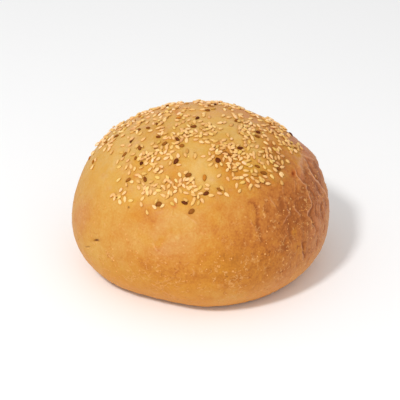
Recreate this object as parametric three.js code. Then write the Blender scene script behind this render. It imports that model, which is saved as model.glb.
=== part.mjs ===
// A round, hand-shaped bread roll, baked on a flat tray: one solid piece.
//
// Frame: millimetres, +Z up, origin under the middle of the roll on the tray.
// The front of the roll faces -Y and +X is to its right.
//
// The form is a ball of dough that has spread under its own weight:
//   - a dome above the girth, a superellipse that rises to the top,
//   - an undercut below the girth, a fuller superellipse,
//   - a flat sole where the dough lay on the tray, with a rounded heel round it,
//   - a few broad swells and hollows, because the dough was shaped by hand.
// Each is a radius measured from the centre of the girth, as a function of direction.
import * as THREE from "three";
import { mergeVertices } from "three/addons/utils/BufferGeometryUtils.js";

const WIDTH = 125; // across the girth, left to right
const DEPTH = 122; // across the girth, front to back
const GIRTH_HEIGHT = 26; // from the sole up to the widest part
const DOME_RISE = 49.6; // from the girth up to the top of the dome
const DOME_POWER = 1.86; // 2 is an ellipse; less is a little more pointed
const UNDERCUT_DROP = 37.6; // depth the undercut would reach without the tray
const UNDERCUT_POWER = 2.43; // more than 2 is fuller than an ellipse
const HEEL_BLEND = 5; // how far the rounded heel reaches into the sole
const MESH_DETAIL = 19; // each side of an icosahedron's face is cut into this many plus one

// Broad swells (+) and hollows (-) in the dough.
// turn: degrees anticlockwise from +X, seen from above; lift: degrees above the girth;
// spread: degrees from its middle to where it has fallen to 60%; rise: mm.
const SWELLS = [
  { name: "right_shoulder", turn: 12, lift: 21, spread: 7, rise: 1.1 },
  { name: "right_back_flat", turn: 46, lift: 44, spread: 10, rise: -0.35 },
  { name: "back_belly", turn: 84, lift: 4, spread: 16, rise: 0.6 },
  { name: "back_hollow", turn: 118, lift: 20, spread: 10, rise: -0.6 },
  { name: "left_back_swell", turn: 150, lift: 36, spread: 11, rise: 0.95 },
  { name: "left_side_flat", turn: 178, lift: 10, spread: 11, rise: -1.0 },
  { name: "left_front_belly", turn: 205, lift: -9, spread: 12, rise: 0.3 },
  { name: "dome_swell", turn: 240, lift: 62, spread: 13, rise: 0.5 },
  { name: "left_heel_tuck", turn: 245, lift: -19, spread: 14, rise: -2.45 },
  { name: "front_dimple", turn: 261, lift: 14, spread: 9, rise: -0.55 },
  { name: "front_heel", turn: 270, lift: -22, spread: 16, rise: 0.15 },
  { name: "front_belly", turn: 283, lift: 2, spread: 12, rise: 0.45 },
  { name: "right_front_hollow", turn: 322, lift: 12, spread: 10, rise: -0.5 },
  { name: "right_front_swell", turn: 340, lift: 24, spread: 8, rise: 0.4 },
  { name: "right_low_belly", turn: 344, lift: -7, spread: 9, rise: 0.25 },
];

const radians = THREE.MathUtils.degToRad;

// Unit vector for a turn about +Z and a lift above the girth plane, in degrees.
function direction(turn, lift) {
  return new THREE.Vector3(
    Math.cos(radians(lift)) * Math.cos(radians(turn)),
    Math.cos(radians(lift)) * Math.sin(radians(turn)),
    Math.sin(radians(lift)),
  );
}

// The smaller of a and b, rounded where they are within blend of each other.
function smoothMin(a, b, blend) {
  const h = Math.max(blend - Math.abs(a - b), 0) / blend;
  return Math.min(a, b) - (h * h * blend) / 4;
}

const swells = SWELLS.map((s) => ({
  axis: direction(s.turn, s.lift),
  sharpness: 1 / radians(s.spread) ** 2,
  rise: s.rise,
}));

// Distance from the girth's centre to the crust along a unit vector.
function crustRadius(d) {
  const flat = Math.hypot(d.x / (WIDTH / 2), d.y / (DEPTH / 2));
  const above = d.z > 0;
  const height = above ? DOME_RISE : UNDERCUT_DROP;
  const power = above ? DOME_POWER : UNDERCUT_POWER;
  let radius =
    (flat ** power + (Math.abs(d.z) / height) ** power) ** (-1 / power);
  for (const s of swells)
    radius += s.rise * Math.exp((d.dot(s.axis) - 1) * s.sharpness);
  if (d.z < -0.02) radius = smoothMin(radius, GIRTH_HEIGHT / -d.z, HEEL_BLEND);
  return radius;
}

// A sphere of even triangles, with each corner moved out to the crust.
function rollGeometry() {
  const ball = new THREE.IcosahedronGeometry(1, MESH_DETAIL);
  ball.deleteAttribute("normal");
  ball.deleteAttribute("uv");
  const geometry = mergeVertices(ball, 1e-5);
  const position = geometry.getAttribute("position");
  const d = new THREE.Vector3();
  for (let i = 0; i < position.count; i++) {
    d.fromBufferAttribute(position, i).normalize();
    const radius = crustRadius(d);
    let z = GIRTH_HEIGHT + radius * d.z;
    if (z < 1e-4) z = 0;
    position.setXYZ(i, radius * d.x, radius * d.y, z);
  }
  // The swells shift the outline a little, so the sides are centred on the origin again.
  geometry.computeBoundingBox();
  const box = geometry.boundingBox;
  geometry.translate(
    -(box.min.x + box.max.x) / 2,
    -(box.min.y + box.max.y) / 2,
    -box.min.z,
  );
  geometry.computeVertexNormals();
  return geometry;
}

const crust = new THREE.MeshStandardMaterial({
  name: "crust",
  color: new THREE.Color().setRGB(0.84, 0.58, 0.28, THREE.SRGBColorSpace),
  roughness: 0.55,
  metalness: 0,
});

const roll = new THREE.Mesh(rollGeometry(), crust);
roll.name = "roll";

const breadRoll = new THREE.Group();
breadRoll.add(roll);

export default breadRoll;
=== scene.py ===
"""A round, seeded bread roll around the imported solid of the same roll.

Four pieces ride on the one body: the crust, which stands for the solid, the pale seeds, the dark
seeds, and the tiny blisters low on the crust. Lengths are in millimetres until a mesh is made.
"""
import math

import bpy
import numpy as np
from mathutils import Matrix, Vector
from mathutils.bvhtree import BVHTree
from mathutils.kdtree import KDTree


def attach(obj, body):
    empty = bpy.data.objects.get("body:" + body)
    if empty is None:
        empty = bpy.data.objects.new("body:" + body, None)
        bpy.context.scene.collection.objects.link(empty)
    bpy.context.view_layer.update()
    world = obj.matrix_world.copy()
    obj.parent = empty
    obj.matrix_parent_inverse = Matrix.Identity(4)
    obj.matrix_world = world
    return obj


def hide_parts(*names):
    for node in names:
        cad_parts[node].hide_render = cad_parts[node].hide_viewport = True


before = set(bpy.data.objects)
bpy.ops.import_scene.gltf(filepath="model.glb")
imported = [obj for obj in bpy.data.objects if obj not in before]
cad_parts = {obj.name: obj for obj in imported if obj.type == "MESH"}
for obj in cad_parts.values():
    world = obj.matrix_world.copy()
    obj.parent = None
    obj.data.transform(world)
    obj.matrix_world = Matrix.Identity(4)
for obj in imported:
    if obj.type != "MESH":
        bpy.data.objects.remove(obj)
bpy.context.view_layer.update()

# ---------------------------------------------------------------- the roll's sizes, as in the solid
WIDTH, DEPTH = 125.0, 122.0
GIRTH_HEIGHT = 26.0
DOME_RISE, DOME_POWER = 49.6, 1.86
UNDERCUT_DROP, UNDERCUT_POWER = 37.6, 2.43
HEEL_BLEND = 5.0
SWELLS = [  # turn and lift in degrees, spread in degrees, rise in mm
    (12, 21, 7, 1.1), (46, 44, 10, -0.35), (84, 4, 16, 0.6), (118, 20, 10, -0.6),
    (150, 36, 11, 0.95), (178, 10, 11, -1.0), (205, -9, 12, 0.3), (240, 62, 13, 0.5),
    (245, -19, 14, -2.45), (261, 14, 9, -0.55), (270, -22, 16, 0.15), (283, 2, 12, 0.45),
    (322, 12, 10, -0.5), (340, 24, 8, 0.4), (344, -7, 9, 0.25),
]
CRUST_CUTS = 98  # each face of the icosahedron is cut into this many squared

# The camera: how high it looks down, how far it is from a point 36 mm up the roll's axis, its
# focal length in pixels of a frame 400 wide, and where that point lands in the frame.
LOOK_DOWN, FAR, FOCAL_PX = math.radians(29.0), 700.0, 1451.0
AIM_Z, AIM_PX = 36.0, (200.32, 188.75)


def towards(turn, lift):
    t, l = math.radians(turn), math.radians(lift)
    return np.array([math.cos(l) * math.cos(t), math.cos(l) * math.sin(t), math.sin(l)])


def lobe(d, turn, lift, spread):
    """1 in one direction from the girth's centre, falling smoothly to 0.6 at spread degrees."""
    return np.exp((d @ towards(turn, lift) - 1) / math.radians(spread) ** 2)


def crust_radius(d):
    flat = np.hypot(d[:, 0] / (WIDTH / 2), d[:, 1] / (DEPTH / 2))
    above = d[:, 2] > 0
    height = np.where(above, DOME_RISE, UNDERCUT_DROP)
    power = np.where(above, DOME_POWER, UNDERCUT_POWER)
    r = (flat**power + (np.abs(d[:, 2]) / height) ** power) ** (-1 / power)
    for turn, lift, spread, rise in SWELLS:
        r = r + rise * lobe(d, turn, lift, spread)
    low = d[:, 2] < -0.02
    floor = np.where(low, GIRTH_HEIGHT / np.maximum(-d[:, 2], 1e-6), 1e6)
    h = np.maximum(HEEL_BLEND - np.abs(r - floor), 0) / HEEL_BLEND
    return np.where(low, np.minimum(r, floor) - h * h * HEEL_BLEND / 4, r)


# ---------------------------------------------------------------- smooth noise, the same each run
def _corner(ix, iy, iz, seed):
    h = (ix * 73856093) ^ (iy * 19349663) ^ (iz * 83492791) ^ (seed * 2654435761)
    h = (h ^ (h >> 13)) * 1274126177 & 0xFFFFFFFF
    h = (h ^ (h >> 16)) * 2246822519 & 0xFFFFFFFF
    h = h ^ (h >> 15)
    return (h & 1023) / 511.5 - 1, ((h >> 10) & 1023) / 511.5 - 1, ((h >> 20) & 1023) / 511.5 - 1


def noise(p, seed):
    """Gradient noise, about -1 to 1, with a feature about every unit."""
    i = np.floor(p).astype(np.int64)
    f = p - i
    u = f * f * f * (f * (f * 6 - 15) + 10)
    out = 0
    for cx in (0, 1):
        for cy in (0, 1):
            for cz in (0, 1):
                gx, gy, gz = _corner(i[:, 0] + cx, i[:, 1] + cy, i[:, 2] + cz, seed)
                dot = gx * (f[:, 0] - cx) + gy * (f[:, 1] - cy) + gz * (f[:, 2] - cz)
                w = (
                    np.abs(1 - cx - u[:, 0])
                    * np.abs(1 - cy - u[:, 1])
                    * np.abs(1 - cz - u[:, 2])
                )
                out = out + w * dot
    return out * 1.5


def layered(p, seed, layers=3, gain=0.5):
    total, amp = 0, 1.0
    for k in range(layers):
        total = total + amp * noise(p * 2.03**k + 17.3 * k, seed + k)
        amp *= gain
    return total


def smoothstep(a, b, x):
    t = np.clip((x - a) / (b - a), 0, 1)
    return t * t * (3 - 2 * t)


# ---------------------------------------------------------------- a sphere of even triangles
def geodesic(n):
    g = (1 + 5**0.5) / 2
    v = np.array([
        (-1, g, 0), (1, g, 0), (-1, -g, 0), (1, -g, 0), (0, -1, g), (0, 1, g),
        (0, -1, -g), (0, 1, -g), (g, 0, -1), (g, 0, 1), (-g, 0, -1), (-g, 0, 1),
    ])
    v /= np.linalg.norm(v[0])
    faces = [
        (0, 11, 5), (0, 5, 1), (0, 1, 7), (0, 7, 10), (0, 10, 11), (1, 5, 9), (5, 11, 4),
        (11, 10, 2), (10, 7, 6), (7, 1, 8), (3, 9, 4), (3, 4, 2), (3, 2, 6), (3, 6, 8),
        (3, 8, 9), (4, 9, 5), (2, 4, 11), (6, 2, 10), (8, 6, 7), (9, 8, 1),
    ]
    ij = [(i, j) for i in range(n + 1) for j in range(n + 1 - i)]
    at = {q: k for k, q in enumerate(ij)}
    share = np.array([(n - i - j, i, j) for i, j in ij]) / n
    tri = []
    for i, j in ij:
        if i + j < n:
            tri.append((at[i, j], at[i + 1, j], at[i, j + 1]))
        if i + j < n - 1:
            tri.append((at[i + 1, j], at[i + 1, j + 1], at[i, j + 1]))
    tri = np.array(tri)
    points = np.vstack([share @ v[list(f)] for f in faces])
    tris = np.vstack([tri + k * len(ij) for k in range(20)])
    points /= np.linalg.norm(points, axis=1)[:, None]
    _, first, inverse = np.unique(
        np.round(points * 1e6).astype(np.int64), axis=0, return_index=True, return_inverse=True
    )
    return points[first], inverse.reshape(-1)[tris]


def vertex_normals(p, tris):
    a, b, c = (p[tris[:, k]] for k in range(3))
    fn = np.cross(b - a, c - a)
    n = np.zeros_like(p)
    for k in range(3):
        for axis in range(3):
            n[:, axis] += np.bincount(tris[:, k], weights=fn[:, axis], minlength=len(p))
    return n / np.linalg.norm(n, axis=1)[:, None]


# ---------------------------------------------------------------- meshes
def make_mesh(name, points_mm, faces, material, attributes=None):
    """One object at the origin, with its place in its mesh, smooth, and with float attributes."""
    mesh = bpy.data.meshes.new(name)
    points_mm = np.asarray(points_mm, dtype=np.float64)
    faces = np.asarray(faces, dtype=np.int64)
    mesh.vertices.add(len(points_mm))
    mesh.vertices.foreach_set("co", (points_mm * 0.001).astype(np.float32).ravel())
    mesh.loops.add(faces.size)
    mesh.loops.foreach_set("vertex_index", faces.astype(np.int32).ravel())
    mesh.polygons.add(len(faces))
    mesh.polygons.foreach_set("loop_start", np.arange(0, faces.size, 3, dtype=np.int32))
    mesh.polygons.foreach_set("use_smooth", np.ones(len(faces), dtype=bool))
    mesh.update(calc_edges=True)
    mesh.validate()
    for key, values in (attributes or {}).items():
        layer = mesh.attributes.new(key, "FLOAT", "POINT")
        layer.data.foreach_set("value", np.asarray(values, dtype=np.float32))
    mesh.materials.append(material)
    obj = bpy.data.objects.new(name, mesh)
    bpy.context.scene.collection.objects.link(obj)
    return obj


# ---------------------------------------------------------------- the camera, and pixels on the crust
# The corners lie closest together on the front right, where the crust is most puckered.
directions, tris = geodesic(CRUST_CUTS)
directions = directions + 0.42 * towards(-62, 20)
directions /= np.linalg.norm(directions, axis=1)[:, None]
base = directions * crust_radius(directions)[:, None] + [0, 0, GIRTH_HEIGHT]
shift = np.array([
    -(base[:, 0].min() + base[:, 0].max()) / 2, -(base[:, 1].min() + base[:, 1].max()) / 2, -base[:, 2].min(),
])
base = base + shift
girth_centre = np.array([0, 0, GIRTH_HEIGHT]) + shift

aim = np.array([0, 0, AIM_Z]) + shift
eye = aim + FAR * np.array([0, -math.cos(LOOK_DOWN), math.sin(LOOK_DOWN)])
pitch = LOOK_DOWN + math.atan((200 - AIM_PX[1]) / FOCAL_PX)
yaw = math.atan((AIM_PX[0] - 200) / FOCAL_PX)
forward = np.array([
    -math.sin(yaw) * math.cos(pitch), math.cos(yaw) * math.cos(pitch), -math.sin(pitch),
])
right = np.cross(forward, [0, 0, 1])
right /= np.linalg.norm(right)
up = np.cross(right, forward)

camera_data = bpy.data.cameras.new("camera")
camera_data.sensor_width = 36.0
camera_data.lens = FOCAL_PX * 36.0 / 400
camera = bpy.data.objects.new("camera", camera_data)
camera.location = eye * 0.001
camera.rotation_mode = "QUATERNION"
camera.rotation_quaternion = Vector(forward).to_track_quat("-Z", "Y")
bpy.context.scene.collection.objects.link(camera)
bpy.context.scene.camera = camera


def pixel_ray(x, y):
    """The line of sight through a pixel, counted from 0 at the frame's top left."""
    d = forward + right * ((x + 0.5 - 200) / FOCAL_PX) + up * ((200 - y - 0.5) / FOCAL_PX)
    return d / np.linalg.norm(d)


def tree_of(points, faces):
    return BVHTree.FromPolygons(points.tolist(), faces.tolist())


def on_tree(tree, x, y):
    """Where the line of sight through a pixel meets the surface, or None."""
    hit = tree.ray_cast(Vector(eye), Vector(pixel_ray(x, y)))
    return None if hit[0] is None else np.array(hit[0])


coarse_d, coarse_tris = geodesic(36)
coarse_tree = tree_of(coarse_d * crust_radius(coarse_d)[:, None] + girth_centre, coarse_tris)


base_normals = vertex_normals(base, tris)


def frame_xy(p):
    """Where points land in the frame, in pixels counted from 0 at its top left."""
    away = p - eye
    deep = away @ forward
    return 199.5 + FOCAL_PX * (away @ right) / deep, 199.5 - FOCAL_PX * (away @ up) / deep


base_x, base_y = frame_xy(base)
sight = (eye - base) / np.linalg.norm(eye - base, axis=1)[:, None]
# Marks placed by pixel fade out just round the limb.
shows = smoothstep(-0.30, 0.0, (base_normals * sight).sum(1))
# Marks are laid through ragged coordinates, so that none has an even edge.
ragged_x = base_x + 1.5 * noise(base / 3.4, 81) + 0.8 * noise(base / 1.5, 82)
ragged_y = base_y + 1.8 * noise(base / 3.8, 83) + 0.8 * noise(base / 1.5, 84)
wavy = base + 0.42 * np.stack([noise(base / 2.6, 85), noise(base / 2.6, 86), noise(base / 2.6, 87)], 1)


def oval(x, y, half_width, half_height):
    """1 at a pixel of the frame on the crust, falling smoothly to 0.37 on an oval about it."""
    return shows * np.exp(-(((base_x - x) / half_width) ** 2) - ((base_y - y) / half_height) ** 2)


def stain(x, y, half_width, half_height, lean=0.0):
    """As an oval, but ragged, flat in its middle and turned lean degrees up from rightwards."""
    c, s = math.cos(math.radians(lean)), math.sin(math.radians(lean))
    dx, dy = ragged_x - x, y - ragged_y
    r2 = ((c * dx + s * dy) / half_width) ** 2 + ((c * dy - s * dx) / half_height) ** 2
    return shows * np.exp(-(r2**1.5))


def patch(corners, soft):
    """1 inside a convex patch given by its corners in the frame, anticlockwise on screen."""
    inside = np.full(len(base), 1e9)
    for (ax, ay), (bx, by) in zip(corners, corners[1:] + corners[:1]):
        reach = math.hypot(bx - ax, by - ay)
        inside = np.minimum(inside, ((by - ay) * (ragged_x - ax) - (bx - ax) * (ragged_y - ay)) / reach)
    return shows * smoothstep(-soft, soft, inside)


def beside_line(pixels):
    """Distance in mm from a line through pixels on the crust, below 0 on its right-hand side.

    Lines are drawn downwards or from right to left, so the lit side is the one above 0.
    """
    line = [q for q in (on_tree(coarse_tree, *xy) for xy in pixels) if q is not None]
    best, side = np.full(len(base), 1e9), np.ones(len(base))
    for a, b in zip(line[:-1], line[1:]):
        ab = b - a
        t = np.clip((wavy - a) @ ab / (ab @ ab), 0, 1)
        far = ((wavy - a - t[:, None] * ab) ** 2).sum(1)
        nearer = far < best
        leftwards = ((wavy - a) * np.cross(ab, base_normals)).sum(1)
        best = np.where(nearer, far, best)
        side = np.where(nearer, np.where(leftwards > 0, 1.0, -1.0), side)
    return np.sqrt(best) * side


# ---------------------------------------------------------------- creases, dents and puckers
# Thin raised folds through pixels of the frame: pixels, rise mm, how pale, and how many times as wide.
RIDGES = [
    ([(305, 159.3), (306.2, 161.5), (307.2, 164), (308.4, 167), (309.6, 170), (311.3, 174), (312.4, 176), (314, 178),
      (316, 180.5), (318.3, 183), (320, 185.2), (322, 187.6), (323.6, 190), (325, 193), (327, 198)], 0.34, 1.0, 1.9),
    ([(299, 152.4), (300.4, 154.6), (302, 157.2)], 0.12, 1.0, 1.3),
    ([(301, 158.6), (299.4, 160.7), (298.2, 164), (296.2, 168), (295.2, 171)], 0.08, 0.7, 1.2),
    ([(295.3, 171.4), (295.7, 174.2), (298, 177.4), (300, 180), (302.2, 182.8), (305, 184.6), (305.2, 188), (306.5, 191),
      (308, 195), (309.2, 199), (310.3, 202), (310.9, 205.7), (309.8, 209.3), (307, 212), (306.6, 215), (309.4, 218.6),
      (311.2, 220.7), (312, 224), (313.4, 227.1), (314.4, 230), (313.7, 234)], 0.26, 0.85, 1.0),
    ([(315.3, 186), (316.5, 190.6), (318.5, 194), (320.6, 196.6)], 0.16, 0.9, 1.5),
    ([(312.5, 159.4), (308.5, 157.8), (305.5, 156.4), (302.8, 155.6)], 0.18, 0.9, 1.4),
    ([(284.6, 203.6), (287.3, 208.5), (289.8, 212.2)], 0.16, 0.9),
    ([(289, 213), (286.5, 217.5), (283.6, 222)], 0.14, 0.6),
    ([(293.6, 203.6), (294.4, 208), (297, 211.5), (299.5, 215.5)], 0.16, 0.8),
    ([(300.9, 244.5), (301.4, 250), (302, 255), (302.4, 260)], 0.20, 0.9),
    ([(294.4, 183), (294.6, 189.5)], 0.10, 0.6),
    ([(282.3, 186.5), (282.4, 191)], 0.10, 0.6),
    ([(301.6, 196.6), (298.5, 197.8), (296.4, 198.6)], 0.12, 0.7),
    ([(316.3, 198), (316.9, 204), (317.2, 210)], 0.14, 0.6),
    ([(318.9, 205), (319, 216), (318.4, 228)], 0.14, 0.5),
    ([(323.4, 195), (324, 201), (324.4, 207)], 0.14, 0.6),
    ([(313.3, 226.5), (313.9, 230.5)], 0.16, 0.8),
    ([(269.6, 196.5), (272.4, 202), (275.6, 207)], 0.14, 0.7),
    ([(251, 222), (253, 226), (256, 230)], 0.12, 0.8),
    ([(187.5, 262.5), (184, 264.6), (181, 261.6)], 0.12, 0.9),
    ([(192.4, 268.5), (194.2, 271.5), (193.6, 275)], 0.12, 0.8),
    ([(173.5, 276), (170.5, 279), (166, 280.5), (161.5, 282)], 0.10, 0.6),
    ([(177, 268.5), (174, 272), (173, 276)], 0.10, 0.5),
    ([(152.5, 283.8), (157.5, 287), (162, 288.5), (166, 293), (170.5, 297.5)], 0.12, 0.8),
    ([(185.2, 214), (190, 218), (195.6, 222.4)], 0.12, 0.6),
    ([(171.6, 211.5), (169.6, 215), (168, 220)], 0.10, 0.5),
    ([(153, 243.5), (154.6, 247.5), (156.6, 250)], 0.12, 1.0),
]
# Creases through pixels of the frame: pixels, half width mm, depth mm, how much darker as painted shade.
CREASES = [
    ([(250, 200.8), (253.6, 202.6), (256.4, 207), (256.8, 215), (257.2, 222), (258.8, 229), (260.4, 235), (261.5, 241)], 0.95, 0.24, 0.16),
    ([(266, 199.5), (265.6, 206), (266.2, 213), (268, 220)], 1.0, 0.12, 0.07),
    ([(280.6, 193), (281, 201), (281.6, 209), (281.8, 218)], 1.3, 0.18, 0.11),
    ([(288.6, 222), (289.6, 229), (290.2, 236)], 0.8, 0.26, 0.20),
    ([(321.4, 203), (320.6, 210), (321.9, 216.5)], 0.8, 0.36, 0.28),
    ([(310.6, 209), (309.2, 213), (311.8, 220), (312.6, 227)], 0.75, 0.34, 0.20),
    ([(302.2, 243), (302.2, 247.4), (303.2, 252), (304.8, 257)], 0.62, 0.36, 0.28),
    ([(317.2, 236), (316.6, 244)], 0.7, 0.34, 0.26),
    ([(324, 225), (323, 234)], 0.7, 0.34, 0.26),
    ([(314.8, 205), (315.2, 214)], 0.6, 0.28, 0.18),
    ([(311.6, 168), (313.4, 172.5), (315.6, 176.5), (317.8, 179.8), (319.6, 182.5), (321.6, 185)], 1.5, 0.24, 0.24),
    ([(318.4, 172), (321, 177.6), (322.8, 183.4)], 0.8, 0.20, 0.10),
    ([(308.6, 186.6), (310.8, 190.4), (313.3, 194.4)], 0.8, 0.22, 0.15),
    ([(318.4, 189), (320.4, 193), (322.4, 196.4)], 0.8, 0.24, 0.14),
    ([(179.8, 231), (181.2, 234.6), (180.3, 239)], 0.55, 0.14, 0.07),
    ([(303.6, 229), (303.2, 235)], 0.8, 0.16, 0.08),
    ([(296, 197), (295.2, 202), (295.4, 207)], 0.5, 0.14, 0.10),
    ([(277.6, 228), (277.4, 238)], 0.6, 0.12, 0.07),
    ([(304.5, 190), (306, 194)], 0.6, 0.12, 0.06),
    ([(326, 195), (326.6, 200)], 0.5, 0.2, 0.12),
]
# Hollows: middle in pixels, half width and half height in pixels, depth mm, how much darker as painted shade.
HOLLOWS = [
    (305.6, 170.2, 3.2, 6.2, 0.40, 0.14), (292.8, 173.5, 1.4, 1.9, 0.50, 0.30), (285.1, 193.6, 1.0, 1.3, 0.12, 0.22),
    (319, 188.6, 1.0, 1.4, 0.15, 0.16), (317.4, 197.4, 1.1, 1.3, 0.18, 0.18), (315.8, 194.8, 0.9, 1.0, 0.12, 0.14),
    (308, 161.2, 0.9, 1.3, 0.14, 0.18), (305, 162.4, 0.9, 0.9, 0.10, 0.14), (305.5, 177.4, 1.0, 1.0, 0.12, 0.14), (325.6, 204.3, 0.8, 1.8, 0.2, 0.14),
    (310.2, 213.5, 1.5, 2.4, 0.20, 0.10), (285.9, 247.8, 1.3, 2.8, 0.30, 0.24), (294, 233.6, 0.9, 0.9, 0.12, 0.20),
    (302.5, 218.6, 3.0, 2.2, 0.14, 0.10), (302.5, 205, 5.0, 6.0, 0.10, 0.0), (160, 240, 4.2, 4.6, 0.20, 0.0),
    (173, 230.5, 5.0, 2.0, 0.16, 0.0), (223.8, 255, 1.0, 1.0, 0.12, 0.20), (160.5, 290, 3.0, 1.0, 0.16, 0.14),
    (156, 286.6, 2.4, 0.9, 0.16, 0.14), (166.5, 294.5, 1.6, 1.6, 0.14, 0.12), (118.4, 188, 0.9, 0.9, 0.10, 0.20),
    (286, 180, 2.5, 2.0, 0.12, 0.04), (330, 214, 1.0, 5.0, 0.24, 0.08), (304.2, 241.4, 1.2, 0.9, 0.16, 0.14),
    (307.6, 221.6, 1.2, 1.0, 0.14, 0.12), (220, 275, 1.0, 1.0, 0.12, 0.16), (150.6, 253.4, 0.8, 1.0, 0.10, 0.14),
]
turn = np.degrees(np.arctan2(directions[:, 1], directions[:, 0]))
lift = np.degrees(np.arcsin(np.clip(directions[:, 2], -1, 1)))

# The right flank has shrunk and puckered as it cooled; the left one has stayed smooth.
puckered = (
    smoothstep(-82, -45, turn) * (1 - smoothstep(75, 130, turn))
    * (1 - smoothstep(27, 44, lift)) * smoothstep(-44, -30, lift)
)
flank_side = smoothstep(-55, -12, turn) * (1 - smoothstep(60, 110, turn))
low_skin = (1 - smoothstep(-2, 10, lift)) * smoothstep(-46, -34, lift)

streak = layered(base / [3.1, 3.1, 8.5], 11, 3)
net = noise(base / [7.5, 7.5, 13.0], 23)
ridge_net = np.exp(-((net / 0.09) ** 2)) * smoothstep(-0.15, 0.35, noise(base / 15, 29))
fine_net = np.exp(-((noise(base / [3.4, 3.4, 4.6], 37) / 0.10) ** 2)) * smoothstep(0.0, 0.4, noise(base / 10, 43))
pit = smoothstep(0.34, 0.66, noise(base / [2.1, 2.1, 4.2], 31))
dimple = smoothstep(0.40, 0.70, noise(base / 2.4, 33))

height = 0.32 * layered(base / 26, 3, 2) + 0.15 * layered(base / 9, 7, 2)
height += 0.055 * layered(base / 4.2, 5, 2) + 0.03 * layered(base / 1.9, 9, 2)
wrinkle = puckered * (0.08 + 0.22 * flank_side) * streak + puckered * flank_side * 0.20 * ridge_net
wrinkle += 0.10 * fine_net * np.clip(low_skin + puckered, 0, 1)
wrinkle -= 0.22 * pit * puckered + 0.09 * dimple * low_skin
wrinkle += 0.05 * low_skin * layered(base / [2.2, 2.2, 1.7], 41, 2)
beside, fold, pale_fold = np.full(len(base), 9.0), np.zeros(len(base)), np.zeros(len(base))
for pixels, rise, paleness, *wider in RIDGES:
    d = beside_line(pixels) / (wider[0] if wider else 1.0)
    wrinkle += 0.75 * rise * np.exp(-(((d - 0.35) / 1.0) ** 2)) + 0.35 * rise * np.exp(-((d / 0.5) ** 2))
    wrinkle -= 0.75 * rise * np.exp(-(((d + 1.15) / 0.75) ** 2))
    fold = np.maximum(fold, rise / 0.34 * np.exp(-((d / 1.3) ** 2)))
    pale_fold = np.maximum(pale_fold, paleness * np.exp(-((d / 1.1) ** 2)))
    beside = np.where(np.abs(d) < np.abs(beside), d, beside)
painted_crease_shade = np.zeros(len(base))
for pixels, half_width, deep, darker in CREASES:
    mark = np.exp(-((beside_line(pixels) / half_width) ** 2))
    wrinkle -= deep * mark
    painted_crease_shade += darker * mark
for x, y, half_width, half_height, deep, darker in HOLLOWS:
    mark = oval(x, y, half_width, half_height)
    wrinkle -= deep * mark
    painted_crease_shade += darker * mark
# A bright boss on the front, a swelling above it, a fold on the right outline and a slit on the left.
wrinkle += 0.30 * oval(177, 237, 2.0, 2.2) + 0.25 * oval(172, 222, 10, 9) + 0.45 * oval(314, 156.5, 3.5, 2.6)
wrinkle += 0.28 * oval(299.5, 167, 2.2, 7) - 0.55 * oval(319.5, 166.5, 4.0, 3.2)
wrinkle -= 0.4 * oval(96.3, 239.4, 2.0, 0.8) + 0.12 * oval(87.4, 246.3, 2.0, 0.7)

sole = 1 - smoothstep(0.2, 1.6, base[:, 2])
height = (height + wrinkle) * (1 - 0.85 * sole)
crust_points = base + base_normals * height[:, None]
on_floor = base[:, 2] < 0.05
crust_points[on_floor, 2] = 0.10 * sole[on_floor] * np.abs(layered(base[on_floor] / 6, 51, 2))
crust_points[:, 2] = np.maximum(crust_points[:, 2], 0)
crust_normals = vertex_normals(crust_points, tris)
crust_tree = tree_of(crust_points, tris)


# ---------------------------------------------------------------- materials
def node(tree, kind, inputs=None, **settings):
    """A node with its settings and inputs; an input is a value or another node's output."""
    made = tree.nodes.new(kind)
    for key, value in settings.items():
        setattr(made, key, value)
    for key, value in (inputs or {}).items():
        if isinstance(value, bpy.types.NodeSocket):
            tree.links.new(value, made.inputs[key])
        else:
            made.inputs[key].default_value = value
    return made


def linear(r, g, b):
    """Linear light from 8-bit screen values."""
    def one(c):
        c /= 255
        return c / 12.92 if c <= 0.04045 else ((c + 0.055) / 1.055) ** 2.4
    return (one(r), one(g), one(b), 1.0)


def ramp(tree, value, stops):
    """A colour ramp; stops are (place, (r, g, b, 1))."""
    made = tree.nodes.new("ShaderNodeValToRGB")
    elements = made.color_ramp.elements
    elements[0].position, elements[0].color = stops[0]
    elements[1].position, elements[1].color = stops[-1]
    for place, colour in stops[1:-1]:
        new = elements.new(place)
        new.color = colour
    tree.links.new(value, made.inputs["Fac"])
    return made.outputs["Color"]


def math_node(tree, operation, a, b=0.0, clamp=False):
    return node(tree, "ShaderNodeMath", {0: a, 1: b}, operation=operation, use_clamp=clamp).outputs[0]


def mix_colour(tree, factor, a, b, blend="MIX"):
    made = tree.nodes.new("ShaderNodeMix")
    made.data_type = "RGBA"
    made.blend_type = blend
    made.clamp_factor = True
    for socket, value in ((made.inputs[0], factor), (made.inputs[6], a), (made.inputs[7], b)):
        if isinstance(value, bpy.types.NodeSocket):
            tree.links.new(value, socket)
        else:
            socket.default_value = value
    return made.outputs[2]


def noise_at(tree, where, scale, detail=2.0, rough=0.5, seed=0.0):
    """Noise about its middle, from about -0.5 to 0.5, with scale in features per metre."""
    made = node(
        tree, "ShaderNodeTexNoise",
        {"Vector": where, "Scale": scale, "Detail": detail, "Roughness": rough, "W": seed},
        noise_dimensions="4D",
    )
    return math_node(tree, "SUBTRACT", made.outputs["Fac"], 0.5)


def start_material(name):
    material = bpy.data.materials.new(name)
    material.use_nodes = True
    tree = material.node_tree
    shader = tree.nodes["Principled BSDF"]
    where = tree.nodes.new("ShaderNodeTexCoord").outputs["Object"]
    return material, tree, shader, where


def attribute(tree, name):
    return node(tree, "ShaderNodeAttribute", attribute_name=name, attribute_type="GEOMETRY").outputs["Fac"]
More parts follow.
